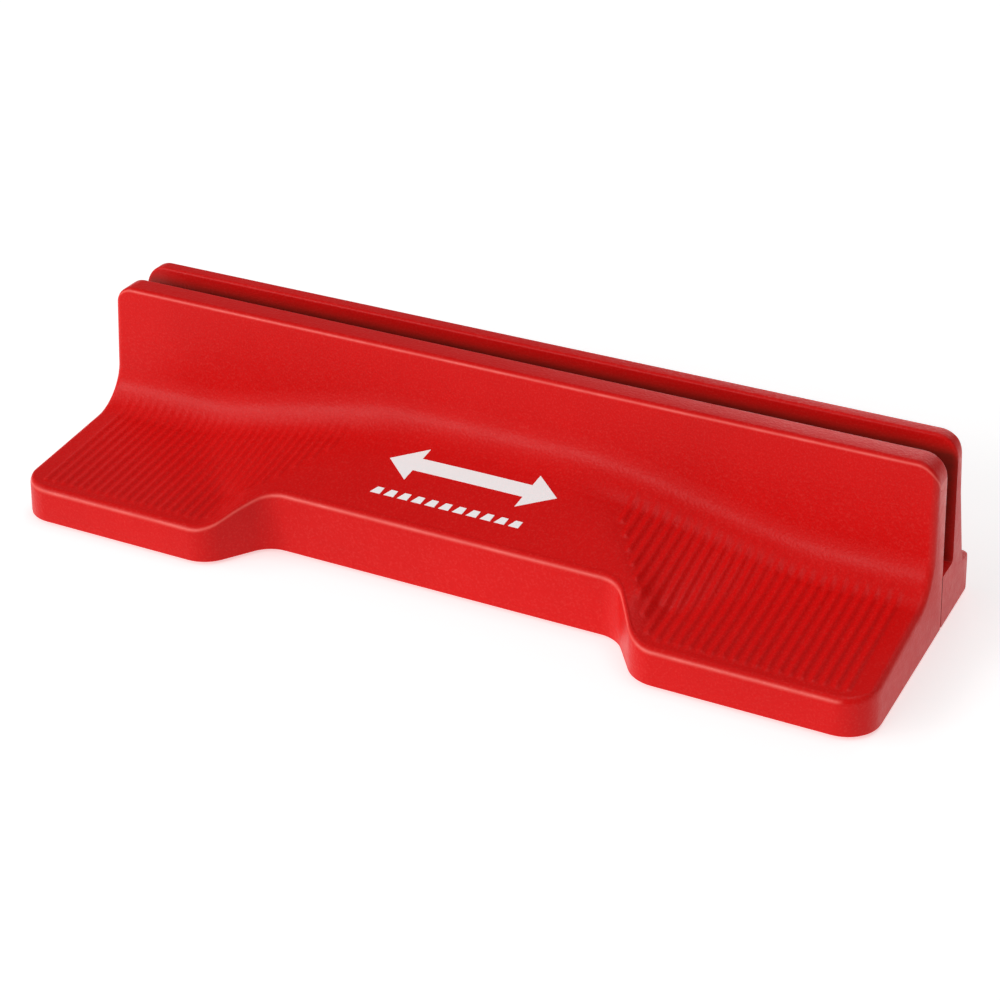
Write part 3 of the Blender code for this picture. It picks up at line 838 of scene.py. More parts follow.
@dataclass
class FrontMoulding:
    """The wide red body: upright wall, raised middle block and two ribbed hand rests."""

    bar: Bar
    ribs: Ribs = Ribs()
    wall: float = 4.6 * MM
    wall_lean: float = math.tan(math.radians(1.1))
    lip_front: float = 0.9 * MM
    lip_back: float = 0.5 * MM
    fillet: float = 7.0 * MM
    rest_height: float = 6.4 * MM
    rest_slope: float = 0.093
    block_reach: float = 25.1 * MM
    block_height: float = 10.5 * MM
    block_slope: float = 0.36
    edge: float = 1.3 * MM
    foot_corner: float = 5.75 * MM
    notch_back: float = 31.3 * MM
    notch_front: float = 37.9 * MM
    notch_inner: float = 5.4 * MM
    notch_outer: float = 6.0 * MM
    heel: float = 0.3 * MM
    ramp_top: tuple[float, float] = (16.0 * MM, 35.0 * MM)
    ramp_foot: tuple[float, float] = (57.0 * MM, 39.5 * MM)
    ramp_softness: float = 0.18
    outline_steps: int = 24
    fillet_steps: int = 20
    lip_steps: int = 14
    back_steps: int = 6
    heel_steps: int = 4
    face_steps: int = 7
    top_steps: int = 71
    rib_steps: float = 8.0

    def outline(self) -> Points:
        """The front edge seen from above: straight runs joined by arcs, left to right.

        Returns:
            The edge, (count, 2).
        """
        half, front, block = self.bar.half, -self.bar.front, -self.block_reach
        right = [(self.notch_back, block), (self.notch_front, front), (half, front), (half, 0.0)]
        radii = [self.notch_inner, self.notch_outer, self.foot_corner]
        points = [(-x, y) for x, y in reversed(right)] + right
        return rounded_path(points, radii[::-1] + radii, self.outline_steps)[1:-1]

    def ramp_share(self, x: Points, y: Points) -> Points:
        """How far the top has dropped from block (0) to rest (1).

        The share rises evenly between two lines that fan out towards the wall; both ends are eased
        by the difference of two hyperbolas.

        Args:
            x: Place along the bar.
            y: Distance from the seam, negative in front of it.

        Returns:
            Share from 0 to 1.
        """
        depth = np.clip((y + self.wall) / (self.wall - self.block_reach), 0.0, 1.0)
        upper = self.ramp_top[0] + (self.ramp_top[1] - self.ramp_top[0]) * depth
        lower = self.ramp_foot[0] + (self.ramp_foot[1] - self.ramp_foot[0]) * depth
        share = (np.abs(x) - upper) / (lower - upper)
        soft = self.ramp_softness**2
        eased = np.sqrt(share**2 + soft) - np.sqrt((share - 1.0) ** 2 + soft)
        return np.clip((eased + 1.0) / 2.0, 0.0, 1.0)

    def top(self, x: Points, y: Points) -> Points:
        """Plain height of the block and rests, without ribs: two slopes mixed by the ramp share.

        Args:
            x: Place along the bar.
            y: Distance from the seam, negative in front of it.

        Returns:
            Height above the underside.
        """
        rest = self.rest_height + self.rest_slope * (y + self.bar.front)
        block = self.block_height + self.block_slope * (y + self.block_reach)
        return block + (rest - block) * self.ramp_share(x, y)

    def wall_face(self, z: Points) -> Points:
        """Y of the wall's front face, which leans back as it rises."""
        return -(self.wall + (self.bar.height - z) * self.wall_lean)

    def stations(self) -> Points:
        """Places along the bar: close over the ribs and roundings, wider elsewhere.

        Returns:
            The places from the left end to the right.
        """
        bar, ribs = self.bar, self.ribs
        start, stop = ribs.centres()[0] - ribs.pitch, bar.half - bar.end_rounding * 1.5
        rib_zone = np.arange(start, stop, ribs.pitch / self.rib_steps)
        middle = np.linspace(0.0, start, 24, endpoint=False)
        ends = [bar.end_places(bar.end_rounding, 8), bar.end_places(bar.corner, 8)[:5]]
        return mirrored(np.concatenate([middle, rib_zone, *ends]))

    def section(self, x: Points) -> Points:
        """Closed profiles of the body at each station.

        Going round: up the flat back, over the wall's two lips, down the leaning face, round the
        hollow fillet, forward over the ribbed top, round the front edge and down to the underside.
        Near the ends the wall top follows its corner radius and every outer face draws in by the
        end rounding.

        Args:
            x: Stations, (count,).

        Returns:
            (count, points, 2) array of y and z.
        """
        bar = self.bar
        count = len(x)
        shrink = bar.fall(x, bar.end_rounding)
        top = bar.height - bar.fall(x, bar.corner)
        outline = self.outline()
        reach = -np.interp(x, outline[:, 0], outline[:, 1])
        height = np.full(count, self.rest_height)
        for _ in range(4):  # the face leans, so its foot's place and height settle together
            height = self.top(x, self.wall_face(height))
        corner = np.stack([self.wall_face(height), height], axis=-1)
        up = unit(np.array([self.wall_lean, 1.0]))
        probe_y = corner[:, 0] - self.fillet / 2.0
        ahead = unit(np.stack([probe_y, self.top(x, probe_y)], axis=-1) - corner)
        hollow = corner_arc(corner, up, ahead, self.fillet, self.fillet_steps)
        turning = np.linspace(0.0, 1.0, hollow.shape[1])
        hollow = hollow + shrink[:, None, None] * np.stack([1.0 - turning, -turning], axis=-1)
        lean_y = self.wall_face(bar.height) + shrink
        back_centre = np.stack([np.full(count, -self.lip_back), top - self.lip_back], axis=-1)
        back = arc(back_centre, self.lip_back, 0, 90, self.back_steps)
        lip_centre = np.stack([lean_y + self.lip_front, top - self.lip_front], axis=-1)
        lip = arc(lip_centre, self.lip_front, 90, 180, self.lip_steps)
        along = np.linspace(0.0, 1.0, self.face_steps + 1)[1:-1, None]
        face = lip[:, -1:, :] + (hollow[:, :1, :] - lip[:, -1:, :]) * along
        edge_y = self.edge - reach
        share = np.linspace(0.0, 1.0, self.top_steps + 1)[1:]
        across = hollow[:, -1, 0, None] + (edge_y - hollow[:, -1, 0])[:, None] * share
        shelf = np.stack([across, self.top(x[:, None], across) - shrink[:, None]], axis=-1)
        for run in (hollow, shelf):
            run[..., 1] += self.ribs.height(x[:, None], run[..., 0])
        turn_centre = np.stack([edge_y, shelf[:, -1, 1] - self.edge], axis=-1)
        turn = arc(turn_centre, self.edge, 90, 180, self.lip_steps)[:, 1:]
        toe_centre = np.stack([self.heel - reach, np.full(count, self.heel)], axis=-1)
        toe = arc(toe_centre, self.heel, 180, 270, self.heel_steps)
        heel_centre = np.full((count, 2), (-self.heel, self.heel))
        heel = arc(heel_centre, self.heel, 270, 360, self.heel_steps)
        return np.concatenate([heel, back, lip, face, hollow, shelf, turn, toe], axis=1)

    def edge_wear_and_highlight(self, places: Points) -> Points:
        """How rubbed and highlit each point is: wear with a painted highlight band, high on the lips
        and the front edge, faint at the ends.

        The front edge's painted highlight stops short of the right foot's rounded corner, which
        turns away from the key light.

        Args:
            places: Places of the points, (count, 3).

        Returns:
            Share from 0 to 1 at each point.
        """
        bar = self.bar
        x, y, z = bar.measured(places)
        outline = self.outline()
        edge_y = self.edge + np.interp(x, outline[:, 0], outline[:, 1])
        crown = bar.height - bar.fall(x, bar.corner)
        lip_y = self.wall_face(bar.height) + self.lip_front + bar.fall(x, bar.end_rounding)
        front = polished_highlight(y - edge_y, z - self.top(x, edge_y) + self.edge, self.edge)
        # painted highlight: faded out round the right foot's corner, which faces away from the key
        # light
        front *= np.clip((bar.half - 0.7 * self.foot_corner - x) / MM, 0.0, 1.0)
        lip = polished_highlight(y - lip_y, z - crown + self.lip_front, self.lip_front)
        back = polished_highlight(-self.lip_back - y, z - crown + self.lip_back, self.lip_back) * 0.5
        return np.clip(front + lip + back + bar.end_wear(x), 0.0, 1.0)

    def build(self, finish: Material, cutters: Sequence[Piece]) -> None:
        """Make the body, sink the underside and bores into it, and dress it.

        Args:
            finish: Material for the body.
            cutters: Shapes to sink into it.
        """
        stations = self.stations()
        body = self.bar.moulding("front_moulding", stations, self.section(stations), cutters)
        # edge: hand wear plus painted highlight bands on the lips and the front edge
        body.paint("edge", self.edge_wear_and_highlight)
        body.finish(finish, "moulded_red", "front_body")


# ---- rear jaw ----


@dataclass
class RearJaw:
    """The thin red jaw behind the scraper slot, with its floor, waist, skirt and flange."""

    bar: Bar
    floor_corner: float = 1.0 * MM
    sill: float = 0.25 * MM
    top_thickness: float = 3.0 * MM
    waist_drop: float = 10.5 * MM
    waist_spread: float = 0.6 * MM
    skirt_spread: float = 3.3 * MM
    flange: float = 6.4 * MM
    bevel: float = 0.8 * MM
    lip_slot: float = 0.5 * MM
    lip_rear: float = 0.9 * MM
    heel: float = 0.3 * MM
    shade_start: float = 0.9 * MM
    shade_rise: float = 2.6 * MM
    shade_most: float = 0.88
    corner_steps: int = 8
    face_heights: tuple[float, ...] = (0.92, 0.6, 0.32, 0.24, 0.19, 0.16, 0.13, 0.10, 0.07, 0.045)

    def stations(self) -> Points:
        """Places along the bar: even steps, closer over the rounded ends.

        Returns:
            The places from the left end to the right.
        """
        bar = self.bar
        middle = np.linspace(0.0, bar.half - 2.0 * bar.corner, 30)
        ends = [bar.end_places(bar.end_rounding, 8), bar.end_places(bar.corner, 12)]
        return mirrored(np.concatenate([middle, *ends]))

    def section(self, x: float) -> Points:
        """Closed profile at one station, its corners rounded and its ends drawn in.

        Extra points climb the slot's inner face, closer together near its lip, to carry the painted
        shade.

        Args:
            x: Place along the bar.

        Returns:
            The profile's y and z, (count, 2).
        """
        bar = self.bar
        top = bar.height - float(bar.fall(np.array(x), bar.corner))
        shrink = float(bar.fall(np.array(x), bar.end_rounding))
        outer, rear = bar.slot + self.top_thickness, bar.rear - shrink
        waist, skirt = outer + self.waist_spread - shrink, outer + self.skirt_spread - shrink
        points = [(bar.gap + 2.0 * self.heel, 0.0), (bar.gap, 0.0), (bar.gap, bar.floor)]
        points += [(bar.slot, bar.floor), (bar.slot, top), (outer - shrink, top)]
        points += [(waist, bar.height - self.waist_drop), (skirt, self.flange), (rear, self.flange)]
        points += [(rear, 0.0), (bar.gap + 4.0 * self.heel, 0.0)]
        radii = [self.heel, self.sill, self.floor_corner, self.lip_slot, self.lip_rear]
        radii += [self.waist_drop, self.bevel, self.bevel, self.heel]
        path = rounded_path(points, radii, self.corner_steps)
        lip = 1 + 3 * (self.corner_steps + 1)
        face = path[lip] + (path[lip - 1] - path[lip]) * np.array(self.face_heights)[:, None]
        return np.concatenate([path[:lip], face, path[lip:]])

    def edge_wear_and_highlight(self, places: Points) -> Points:
        """How rubbed and highlit each point is: wear with a painted highlight band, high on the rear
        lip and the flange's rim, faint at the ends.

        Args:
            places: Places of the points, (count, 3).

        Returns:
            Share from 0 to 1 at each point.
        """
        bar = self.bar
        x, y, z = bar.measured(places)
        shrink = bar.fall(x, bar.end_rounding)
        crown = bar.height - bar.fall(x, bar.corner)
        lip_y = bar.slot + self.top_thickness - self.lip_rear - shrink
        lip = polished_highlight(lip_y - y, z - crown + self.lip_rear, self.lip_rear)
        rim_y = bar.rear - self.bevel - shrink
        rim = polished_highlight(rim_y - y, z - self.flange + self.bevel, self.bevel)
        return np.clip(lip + rim + bar.end_wear(x), 0.0, 1.0)

    def slot_grime(self, places: Points) -> Points:
        """How much painted shade darkens each point.

        Inside the slot it is none at the lips and rises evenly with depth, fading out at both
        ends; the face along the seam is darkened all over but for its ends.

        Args:
            places: Places of the points, (count, 3).

        Returns:
            Share from 0 to 1 at each point.
        """
        bar = self.bar
        skin, end_gap, end_fade = 0.1 * MM, 0.4 * MM, 2.0 * MM
        seam_fade, seam_share = 0.12 * MM, 0.9
        _, y, z = bar.measured(places)
        end = bar.half - np.abs(places[:, 0])
        depth = bar.height - bar.fall(places[:, 0], bar.corner) - z - self.shade_start
        inside = (y < bar.slot + skin) & (z > bar.floor + skin)
        slot = np.clip(depth / self.shade_rise, 0.0, self.shade_most) * inside
        slot *= np.clip((end - end_gap) / end_fade, 0.0, 1.0)
        seam = (np.abs(y - bar.gap) < skin) & (z <= bar.floor)
        return slot + seam_share * seam * np.clip(end / seam_fade, 0.0, 1.0)

    def build(self, finish: Material, cutters: Sequence[Piece]) -> None:
        """Make the jaw, cut its window and bores, and dress it.

        Args:
            finish: Material for the jaw.
            cutters: Shapes to cut out of it.
        """
        stations = self.stations()
        profile = np.stack([self.section(x) for x in stations])
        jaw = self.bar.moulding("rear_moulding", stations, profile, cutters)
        # edge: hand wear plus painted highlight bands on the rear lip and the flange's rim
        jaw.paint("edge", self.edge_wear_and_highlight)
        # painted shade: darker towards the bottom of the slot and along the seam
        jaw.paint("grime", self.slot_grime)
        jaw.finish(finish, "moulded_red", "rear_jaw")


# ---- hidden file ----


@dataclass
class FileBlade:
    """Flat single-cut file lying under the slot, its teeth bared by the window."""

    bar: Bar
    length: float = 120.0 * MM
    width: float = 13.0 * MM
    thickness: float = 2.5 * MM
    top: float = 8.6 * MM
    window: float = 56.0 * MM
    pitch: float = 0.72 * MM
    tooth: float = 0.17 * MM
    slant: float = math.tan(math.radians(25.0))
    hole: float = 1.2 * MM
    chamfer: float = 0.25 * MM
    tip: float = 0.3 * MM
    across: int = 22

    def teeth(self, x: Points, y: Points) -> Points:
        """Depth of the teeth below the blade's top.

        The sum of x and the slanted y, taken modulo the pitch, climbs over four fifths of each
        tooth and drops sharply over the last fifth; the pattern fades out past the window.

        Args:
            x: Place along the bar.
            y: Distance from the blade's middle line.

        Returns:
            Depth at each point.
        """
        phase = ((x + y * self.slant) / self.pitch) % 1.0
        saw = np.where(phase < 0.8, 1.0 - phase / 0.8, (phase - 0.8) / 0.2)
        fade = np.clip((self.window + 1.5 * MM - np.abs(x)) / (0.6 * MM), 0.0, 1.0)
        return self.tooth * saw * fade

    def build(self, finish: Material) -> None:
        """Carry the blade's section along the bar, lower its top by the teeth and drill its ends.

        Args:
            finish: Material for the blade.
        """
        side, half, middle = self.length / 2.0, self.width / 2.0, self.bar.slot / 2.0
        low, high, cut = self.top - self.thickness, self.top, self.chamfer
        under = [(cut - half, low), (half - cut, low), (half, low + cut), (half, high - cut)]
        flat = np.linspace(half - cut, cut - half, self.across)
        upper = np.column_stack([flat, np.full_like(flat, high)])
        ring = np.concatenate([under, upper, [(-half, high - cut), (-half, low + cut)]])
        ends = side - np.array([0.0, self.tip])
        inner = np.arange(2.0 * self.tip - side, side - 2.0 * self.tip, self.pitch / 5.0)
        stations = np.concatenate([-ends, inner, ends[::-1]])
        x = np.broadcast_to(stations[:, None], (len(stations), len(ring)))
        y = np.broadcast_to(ring[:, 0], x.shape).copy()
        z = np.broadcast_to(ring[:, 1], x.shape).copy()
        crest = slice(len(under), len(under) + self.across)
        z[:, crest] -= self.teeth(x[:, crest], y[:, crest])
        draw = np.clip(1.0 - (side - np.abs(x)) / self.tip, 0.0, 1.0) * cut
        y = y - np.sign(y) * draw
        z = z - np.sign(z - (low + high) / 2.0) * draw
        drills = []
        drill = np.array([(0.0, -MM), (self.hole, -MM), (self.hole, 4.0 * MM), (0.0, 4.0 * MM)])
        for end in Side:
            place = self.bar.placed(end.value * (side + self.window) / 2.0, middle, low)
            name = f"file_drill_{end.name.lower()}"
            drills.append(Piece.standing(name, turned_grid(drill, 40), place, Heading.UP))
        blade = Piece.from_grid("file_strip", self.bar.placed(x, y + middle, z)).without(drills)
        blade.finish(finish, "file_steel", "file_blade", crease=24.0)


# ---- fasteners ----


@dataclass
class PanScrew:
    """A pan-head screw with a rolled thread and a cross recess, tip at zero on its own axis."""

    length: float
    shank: float
    head: float
    head_height: float
    recess: float
    thread: float
    tip: float = 0.6 * MM
    tip_radius: float = 0.9 * MM
    arm: float = 0.30 * MM
    sides: int = 48

    def surface(self) -> Points:
        """Thread, neck and domed head.

        Along the shank the radius is the crest less a triangle wave of height over pitch minus the
        turn angle, so the crest winds round as a helix; the head is a quarter-round rim under a
        shallow dome.

        Returns:
            Rings from the tip to the crown.
        """
        clear, lead, brim, step = 0.35 * MM, 0.12 * MM, 0.08 * MM, self.thread / 8.0
        depth, rim, dome = 0.224 * self.shank, self.head_height * 0.45, self.head_height * 0.035
        climb = np.arange(self.tip, self.length - clear, step)
        angles = np.linspace(0.0, TAU, self.sides, endpoint=False)
        wave = np.abs((climb[:, None] / self.thread - angles / TAU) % 1.0 * 2.0 - 1.0)
        fade = np.clip((climb - self.tip) / self.thread, 0.0, 1.0)
        fade = fade * np.clip((climb[-1] - climb) / self.thread, 0.0, 1.0)
        radius = self.shank - depth * wave * fade[:, None]
        level = climb[:, None] + 0.0 * angles
        shank = np.stack([radius * np.cos(angles), radius * np.sin(angles), level], axis=-1)
        tip = np.array([(0.0, 0.0), (self.tip_radius * 0.7, 0.0), (self.tip_radius, lead)])
        neck = [(self.shank, self.length - clear * 0.5), (self.shank, self.length)]
        flank = [(self.head - brim, self.length), (self.head, self.length + brim)]
        centre = np.array([self.head - rim, self.length + self.head_height - rim])
        side = arc(centre, rim, 0.0, 70.0, 8)
        share = np.array([0.75, 0.5, 0.25, 0.0])
        crown = np.column_stack([side[-1, 0] * share, side[-1, 1] + dome * (1.0 - share**2)])
        cap = turned_grid(np.concatenate([neck, flank, side, crown]), self.sides)
        return np.concatenate([turned_grid(tip, self.sides), shank, cap])

    def recess_cutters(self, name: str, place: Points, heading: Heading) -> list[Piece]:
        """Two crossing blades sunk into the crown, tapering to a narrower foot.

        Args:
            name: Start of the cutters' names.
            place: Where the screw's axis starts.
            heading: Where it points.

        Returns:
            The two blades.
        """
        high = self.length + self.head_height + 0.4 * MM
        low = self.length + self.head_height - self.recess
        reach, taper = self.head * 0.62, 0.62
        cutters = []
        for label, sizes in (("across", (reach, self.arm)), ("along", (self.arm, reach))):
            outline = np.array([(-1, -1), (1, -1), (1, 1), (-1, 1)]) * sizes
            foot = np.column_stack([outline * taper, np.full(4, low)])
            grid = np.stack([foot, np.column_stack([outline, np.full(4, high)])])
            cutters.append(Piece.standing(f"{name}_{label}", grid, place, heading))
        return cutters


@dataclass
class Fasteners:
    """Clamp screws, threaded inserts, locating pins and the plate's small screws."""

    bar: Bar
    spots: tuple[float, ...] = (-67.5 * MM, -25.0 * MM, 25.0 * MM, 67.5 * MM)
    seat: float = 2.2 * MM
    reach: float = 5.0 * MM
    insert_radius: float = 1.9 * MM
    insert_bore: float = 1.55 * MM
    insert_length: float = 5.0 * MM
    insert_setback: float = 0.4 * MM
    insert_groove: float = 0.25 * MM
    pin_spots: tuple[float, float] = (-46.0 * MM, 46.0 * MM)
    pin_radius: float = 1.0 * MM
    pin_length: float = 10.0 * MM
    pin_chamfer: float = 0.25 * MM
    plate_spots: tuple[float, ...] = (-68.5 * MM, -38.5 * MM, 0.0, 38.5 * MM, 68.5 * MM)
    plate_line: float = -14.5 * MM

    def clamp_screw(self) -> PanScrew:
        """The screw used through the jaw.

        Returns:
            The screw.
        """
        return PanScrew(
            length=self.bar.rear - self.seat + self.reach,
            shank=1.25 * MM,
            head=2.0 * MM,
            head_height=1.4 * MM,
            recess=0.8 * MM,
            thread=0.45 * MM,
        )

    def plate_screw(self) -> PanScrew:
        """The small screw used under the plate, drawn head up and turned over when placed.

        Returns:
            The screw.
        """
        return PanScrew(
            length=3.1 * MM,
            shank=1.0 * MM,
            head=1.8 * MM,
            head_height=0.9 * MM,
            recess=0.5 * MM,
            thread=0.4 * MM,
            tip_radius=0.6 * MM,
        )

    def sleeve(self) -> Points:
        """A knurled threaded insert.

        Outside, the radius is the sleeve's less a cosine of thirty turns, and less a groove about
        its middle; inside, a triangle wave of height and turn angle cuts the thread.

        Returns:
            Rings up the outside and down the inside.
        """
        knurls, knurl_depth, rim_depth = 30.0, 0.06 * MM, 0.12 * MM
        thread, thread_depth = 0.45 * MM, 0.10 * MM
        angles = np.linspace(0.0, TAU, 120, endpoint=False)
        height = np.linspace(0.0, self.insert_length, 41)[:, None]
        middle = np.abs(height / self.insert_length - 0.5)
        groove = np.clip((0.19 - middle) / 0.04, 0.0, 1.0) * self.insert_groove
        knurl = knurl_depth * (0.5 - 0.5 * np.cos(angles * knurls)) * (groove == 0.0)
        rim = np.clip((middle - 0.47) / 0.03, 0.0, 1.0) * rim_depth
        outside = self.insert_radius - groove - knurl - rim
        wave = np.abs((height / thread - angles / TAU) % 1.0 * 2.0 - 1.0)
        inside = self.insert_bore + thread_depth * wave + rim
        radius = np.concatenate([outside, inside[::-1]])
        level = np.concatenate([height, height[::-1]]) + 0.0 * angles
        return np.stack([radius * np.cos(angles), radius * np.sin(angles), level], axis=-1)

    def pin(self) -> Points:
        """A locating pin: a cylinder with chamfered ends.

        Returns:
            Rings from end to end.
        """
        radius, bevel, length = self.pin_radius, self.pin_chamfer, self.pin_length
        lower = [(0.0, 0.0), (radius - bevel, 0.0), (radius, bevel)]
        upper = [(radius, length - bevel), (radius - bevel, length), (0.0, length)]
        return turned_grid(np.array(lower + upper), 48)

    def build(self, steel: Material, brass: Material) -> None:
        """Make and dress every fastener.

        Args:
            steel: Material for the screws and pins.
            brass: Material for the inserts.
        """
        bar, rearward = self.bar, Heading.REARWARD
        screw, small = self.clamp_screw(), self.plate_screw()
        for number, x in enumerate(self.spots, 1):
            place = bar.placed(x, -self.reach, bar.screw_height)
            recess = screw.recess_cutters(f"clamp_cross_{number}", place, rearward)
            piece = Piece.standing(f"clamp_screw_{number}", screw.surface(), place, rearward)
            piece.without(recess).finish(steel, "bright_steel", f"jaw_screw_{number}")
            place = bar.placed(x, -self.insert_setback - self.insert_length, bar.screw_height)
            piece = Piece.standing(f"knurled_insert_{number}", self.sleeve(), place, rearward, True)
            piece.finish(brass, "brass", f"threaded_insert_{number}")
        for side, x in zip(Side, self.pin_spots):
            place = bar.placed(x, -self.pin_length / 2.0, bar.screw_height)
            piece = Piece.standing(f"locating_pin_{side.name.lower()}", self.pin(), place, rearward)
            piece.finish(steel, "bright_steel", f"dowel_{side.name.lower()}")
        over = np.array([1.0, -1.0, -1.0])
        for number, x in enumerate(self.plate_spots, 1):
            foot = bar.placed(x, self.plate_line, 0.0) + (0.0, 0.0, small.length + small.head_height)
            piece = Piece.from_grid(f"cover_screw_{number}", small.surface() * over + foot)
            cutters = small.recess_cutters(f"cover_cross_{number}", np.zeros(3), Heading.UP)
            for cutter in cutters:
                cutter.item.data.transform(Matrix.Diagonal((*over, 1.0)))
                cutter.item.data.transform(Matrix.Translation(Vector(foot)))
            piece.without(cutters).finish(steel, "bright_steel", f"plate_screw_{number}")


# ---- underside ----


@dataclass
class Underside:
    """The black cover plate, the pockets above it and the four rubber pads."""

    bar: Bar
    thickness: float = 2.0 * MM
    margin: float = 3.0 * MM
    back: float = 8.5 * MM
    corner: float = 3.0 * MM
    block_reach: float = 25.1 * MM
    notch: float = 37.9 * MM
    chamfer: float = 0.3 * MM
    pad_radius: float = 4.0 * MM
    pad_thickness: float = 1.4 * MM
    pad_proud: float = 0.5 * MM
    pad_half: float = 56.5 * MM
    pad_rows: tuple[tuple[str, float], ...] = (("front", -25.0 * MM), ("rear", 7.2 * MM))
    pocket_back: float = -10.5 * MM
    pockets: tuple[tuple[float, float, float, float], ...] = (
        (3.5 * MM, 33.0 * MM, -20.6 * MM, 8.0 * MM),
        (43.5 * MM, 64.0 * MM, -30.2 * MM, 4.3 * MM),
    )
    lead: float = 0.25 * MM
    wear: float = 0.25

    def outline(self, grow: float) -> Points:
        """The plate's outline, counter-clockwise from above.

        Args:
            grow: Clearance it is grown by.

        Returns:
            Its points, (count, 2).
        """
        margin = self.margin - grow
        side, foot = self.bar.half - margin, margin - self.bar.front
        block, notch, back = margin - self.block_reach, self.notch + margin, grow - self.back
        left = [(-side, back), (-side, foot), (-notch, foot), (-notch, block)]
        right = [(notch, block), (notch, foot), (side, foot), (side, back)]
        return rounded_loop(left[1:] + right + left[:1], self.corner, 10)

    def carried(self, outline: Points, levels: Pairs) -> Points:
        """An outline carried up through levels and put in place on the bar."""
        grid = raised_grid(outline, levels)
        return self.bar.placed(grid[..., 0], grid[..., 1], grid[..., 2])

    def pad_places(self) -> list[tuple[str, float, float]]:
        """List the pads: two in the front row and two in the rear row.

        Returns:
            Name, x and y of each pad.
        """
        return [
            (f"{row}_{side.name.lower()}", side.value * self.pad_half, y)
            for row, y in self.pad_rows
            for side in Side
        ]

    def seat_cutters(self, row: str) -> list[Piece]:
        """Shallow round seats for the pads, with a small lead-in at the rim.

        Args:
            row: Which row of pads, front or rear.

        Returns:
            The cutters.
        """
        radius = self.pad_radius + self.bar.gap
        depth = self.pad_thickness - self.pad_proud + self.bar.gap
        rim = radius + self.lead
        profile = [(0.0, -MM), (rim, -MM), (rim, 0.0)]
        profile += [(radius, self.lead), (radius, depth), (0.0, depth)]
        grid = turned_grid(np.array(profile), 64)
        return [
            Piece.standing(f"pad_seat_{name}", grid, self.bar.placed(x, y, 0.0), Heading.UP)
            for name, x, y in self.pad_places()
            if name.startswith(row)
        ]

    def body_cutters(self) -> list[Piece]:
        """The recess for the plate and the weight-saving pockets above it.

        Returns:
            The cutters.
        """
        top = self.thickness + self.bar.gap
        levels = [(-self.lead, -2.0 * MM), (-self.lead, 0.0), (0.0, self.lead), (0.0, top)]
        made = [Piece.from_grid("plate_recess", self.carried(self.outline(self.bar.gap), levels))]
        start, bevel, ease = top - 0.3 * MM, 0.5 * MM, 0.15 * MM
        for side in Side:
            for number, (inner, outer, front, rise) in enumerate(self.pockets):
                low, high = sorted((side.value * inner, side.value * outer))
                back = self.pocket_back
                corners = [(low, front), (high, front), (high, back), (low, back)]
                levels = [(0.0, start), (0.0, rise - bevel), (ease, rise - ease), (bevel, rise)]
                grid = self.carried(rounded_loop(corners, 1.5 * MM, 6), levels)
                made.append(Piece.from_grid(f"pocket_{side.name.lower()}_{number}", grid))
        return made

    def plate(self, finish: Material, fasteners: Fasteners) -> None:
        """The cover plate with bevelled rims, screw seats and pad seats.

        Args:
            finish: Material for the plate.
            fasteners: Gives the small screws and their places.
        """
        cut, top = self.chamfer, self.thickness
        ease = cut * 0.3
        levels = [(cut, 0.0), (ease, ease), (0.0, cut)]
        levels += [(0.0, top - cut), (ease, top - ease), (cut, top)]
        small, gap, lead = fasteners.plate_screw(), self.bar.gap, 0.2 * MM
        head, shank = small.head + gap, small.shank + gap
        sunk, above = small.head_height + gap, 4.0 * MM
        profile = [(0.0, -MM), (head + lead, -MM), (head + lead, 0.0), (head, lead), (head, sunk)]
        profile += [(shank, sunk), (shank, above), (0.0, above)]
        cutters = self.seat_cutters("front")
        spots, line = fasteners.plate_spots, fasteners.plate_line
        cutters += self.bar.bores("cover_hole", profile, spots, line, Heading.UP)
        grid = self.carried(self.outline(0.0), levels)
        plate = Piece.from_grid("cover_plate", grid).without(cutters)
        plate.paint("edge", lambda places: bell(places[:, 2] - self.bar.base, self.lead) * self.wear)
        plate.finish(finish, "black_plastic", "base_plate")

    def pads(self, finish: Material) -> None:
        """Four round pads whose lower face carries rings: height dips by a cosine of the radius.

        Args:
            finish: Material for the pads.
        """
        ring, depth, rounding, bevel = 0.9 * MM, 0.07 * MM, 0.3 * MM, 0.1 * MM
        radius = np.linspace(0.0, self.pad_radius - rounding - 0.05 * MM, 40)
        lower = np.column_stack([radius, depth * (1.0 - np.cos(TAU * radius / ring))])
        side = arc(np.array([self.pad_radius - rounding, rounding]), rounding, -90.0, 0.0, 6)
        top = self.pad_thickness
        upper = [(self.pad_radius, top - bevel), (self.pad_radius - bevel, top), (0.0, top)]
        grid = turned_grid(np.concatenate([lower, side, upper]), 72)
        for name, x, y in self.pad_places():
            place = self.bar.placed(x, y, -self.pad_proud)
            pad = Piece.standing(f"grip_pad_{name}", grid, place, Heading.UP)
            pad.finish(finish, "pad_rubber", f"foot_pad_{name}")


# ---- cuts shared by the two mouldings ----


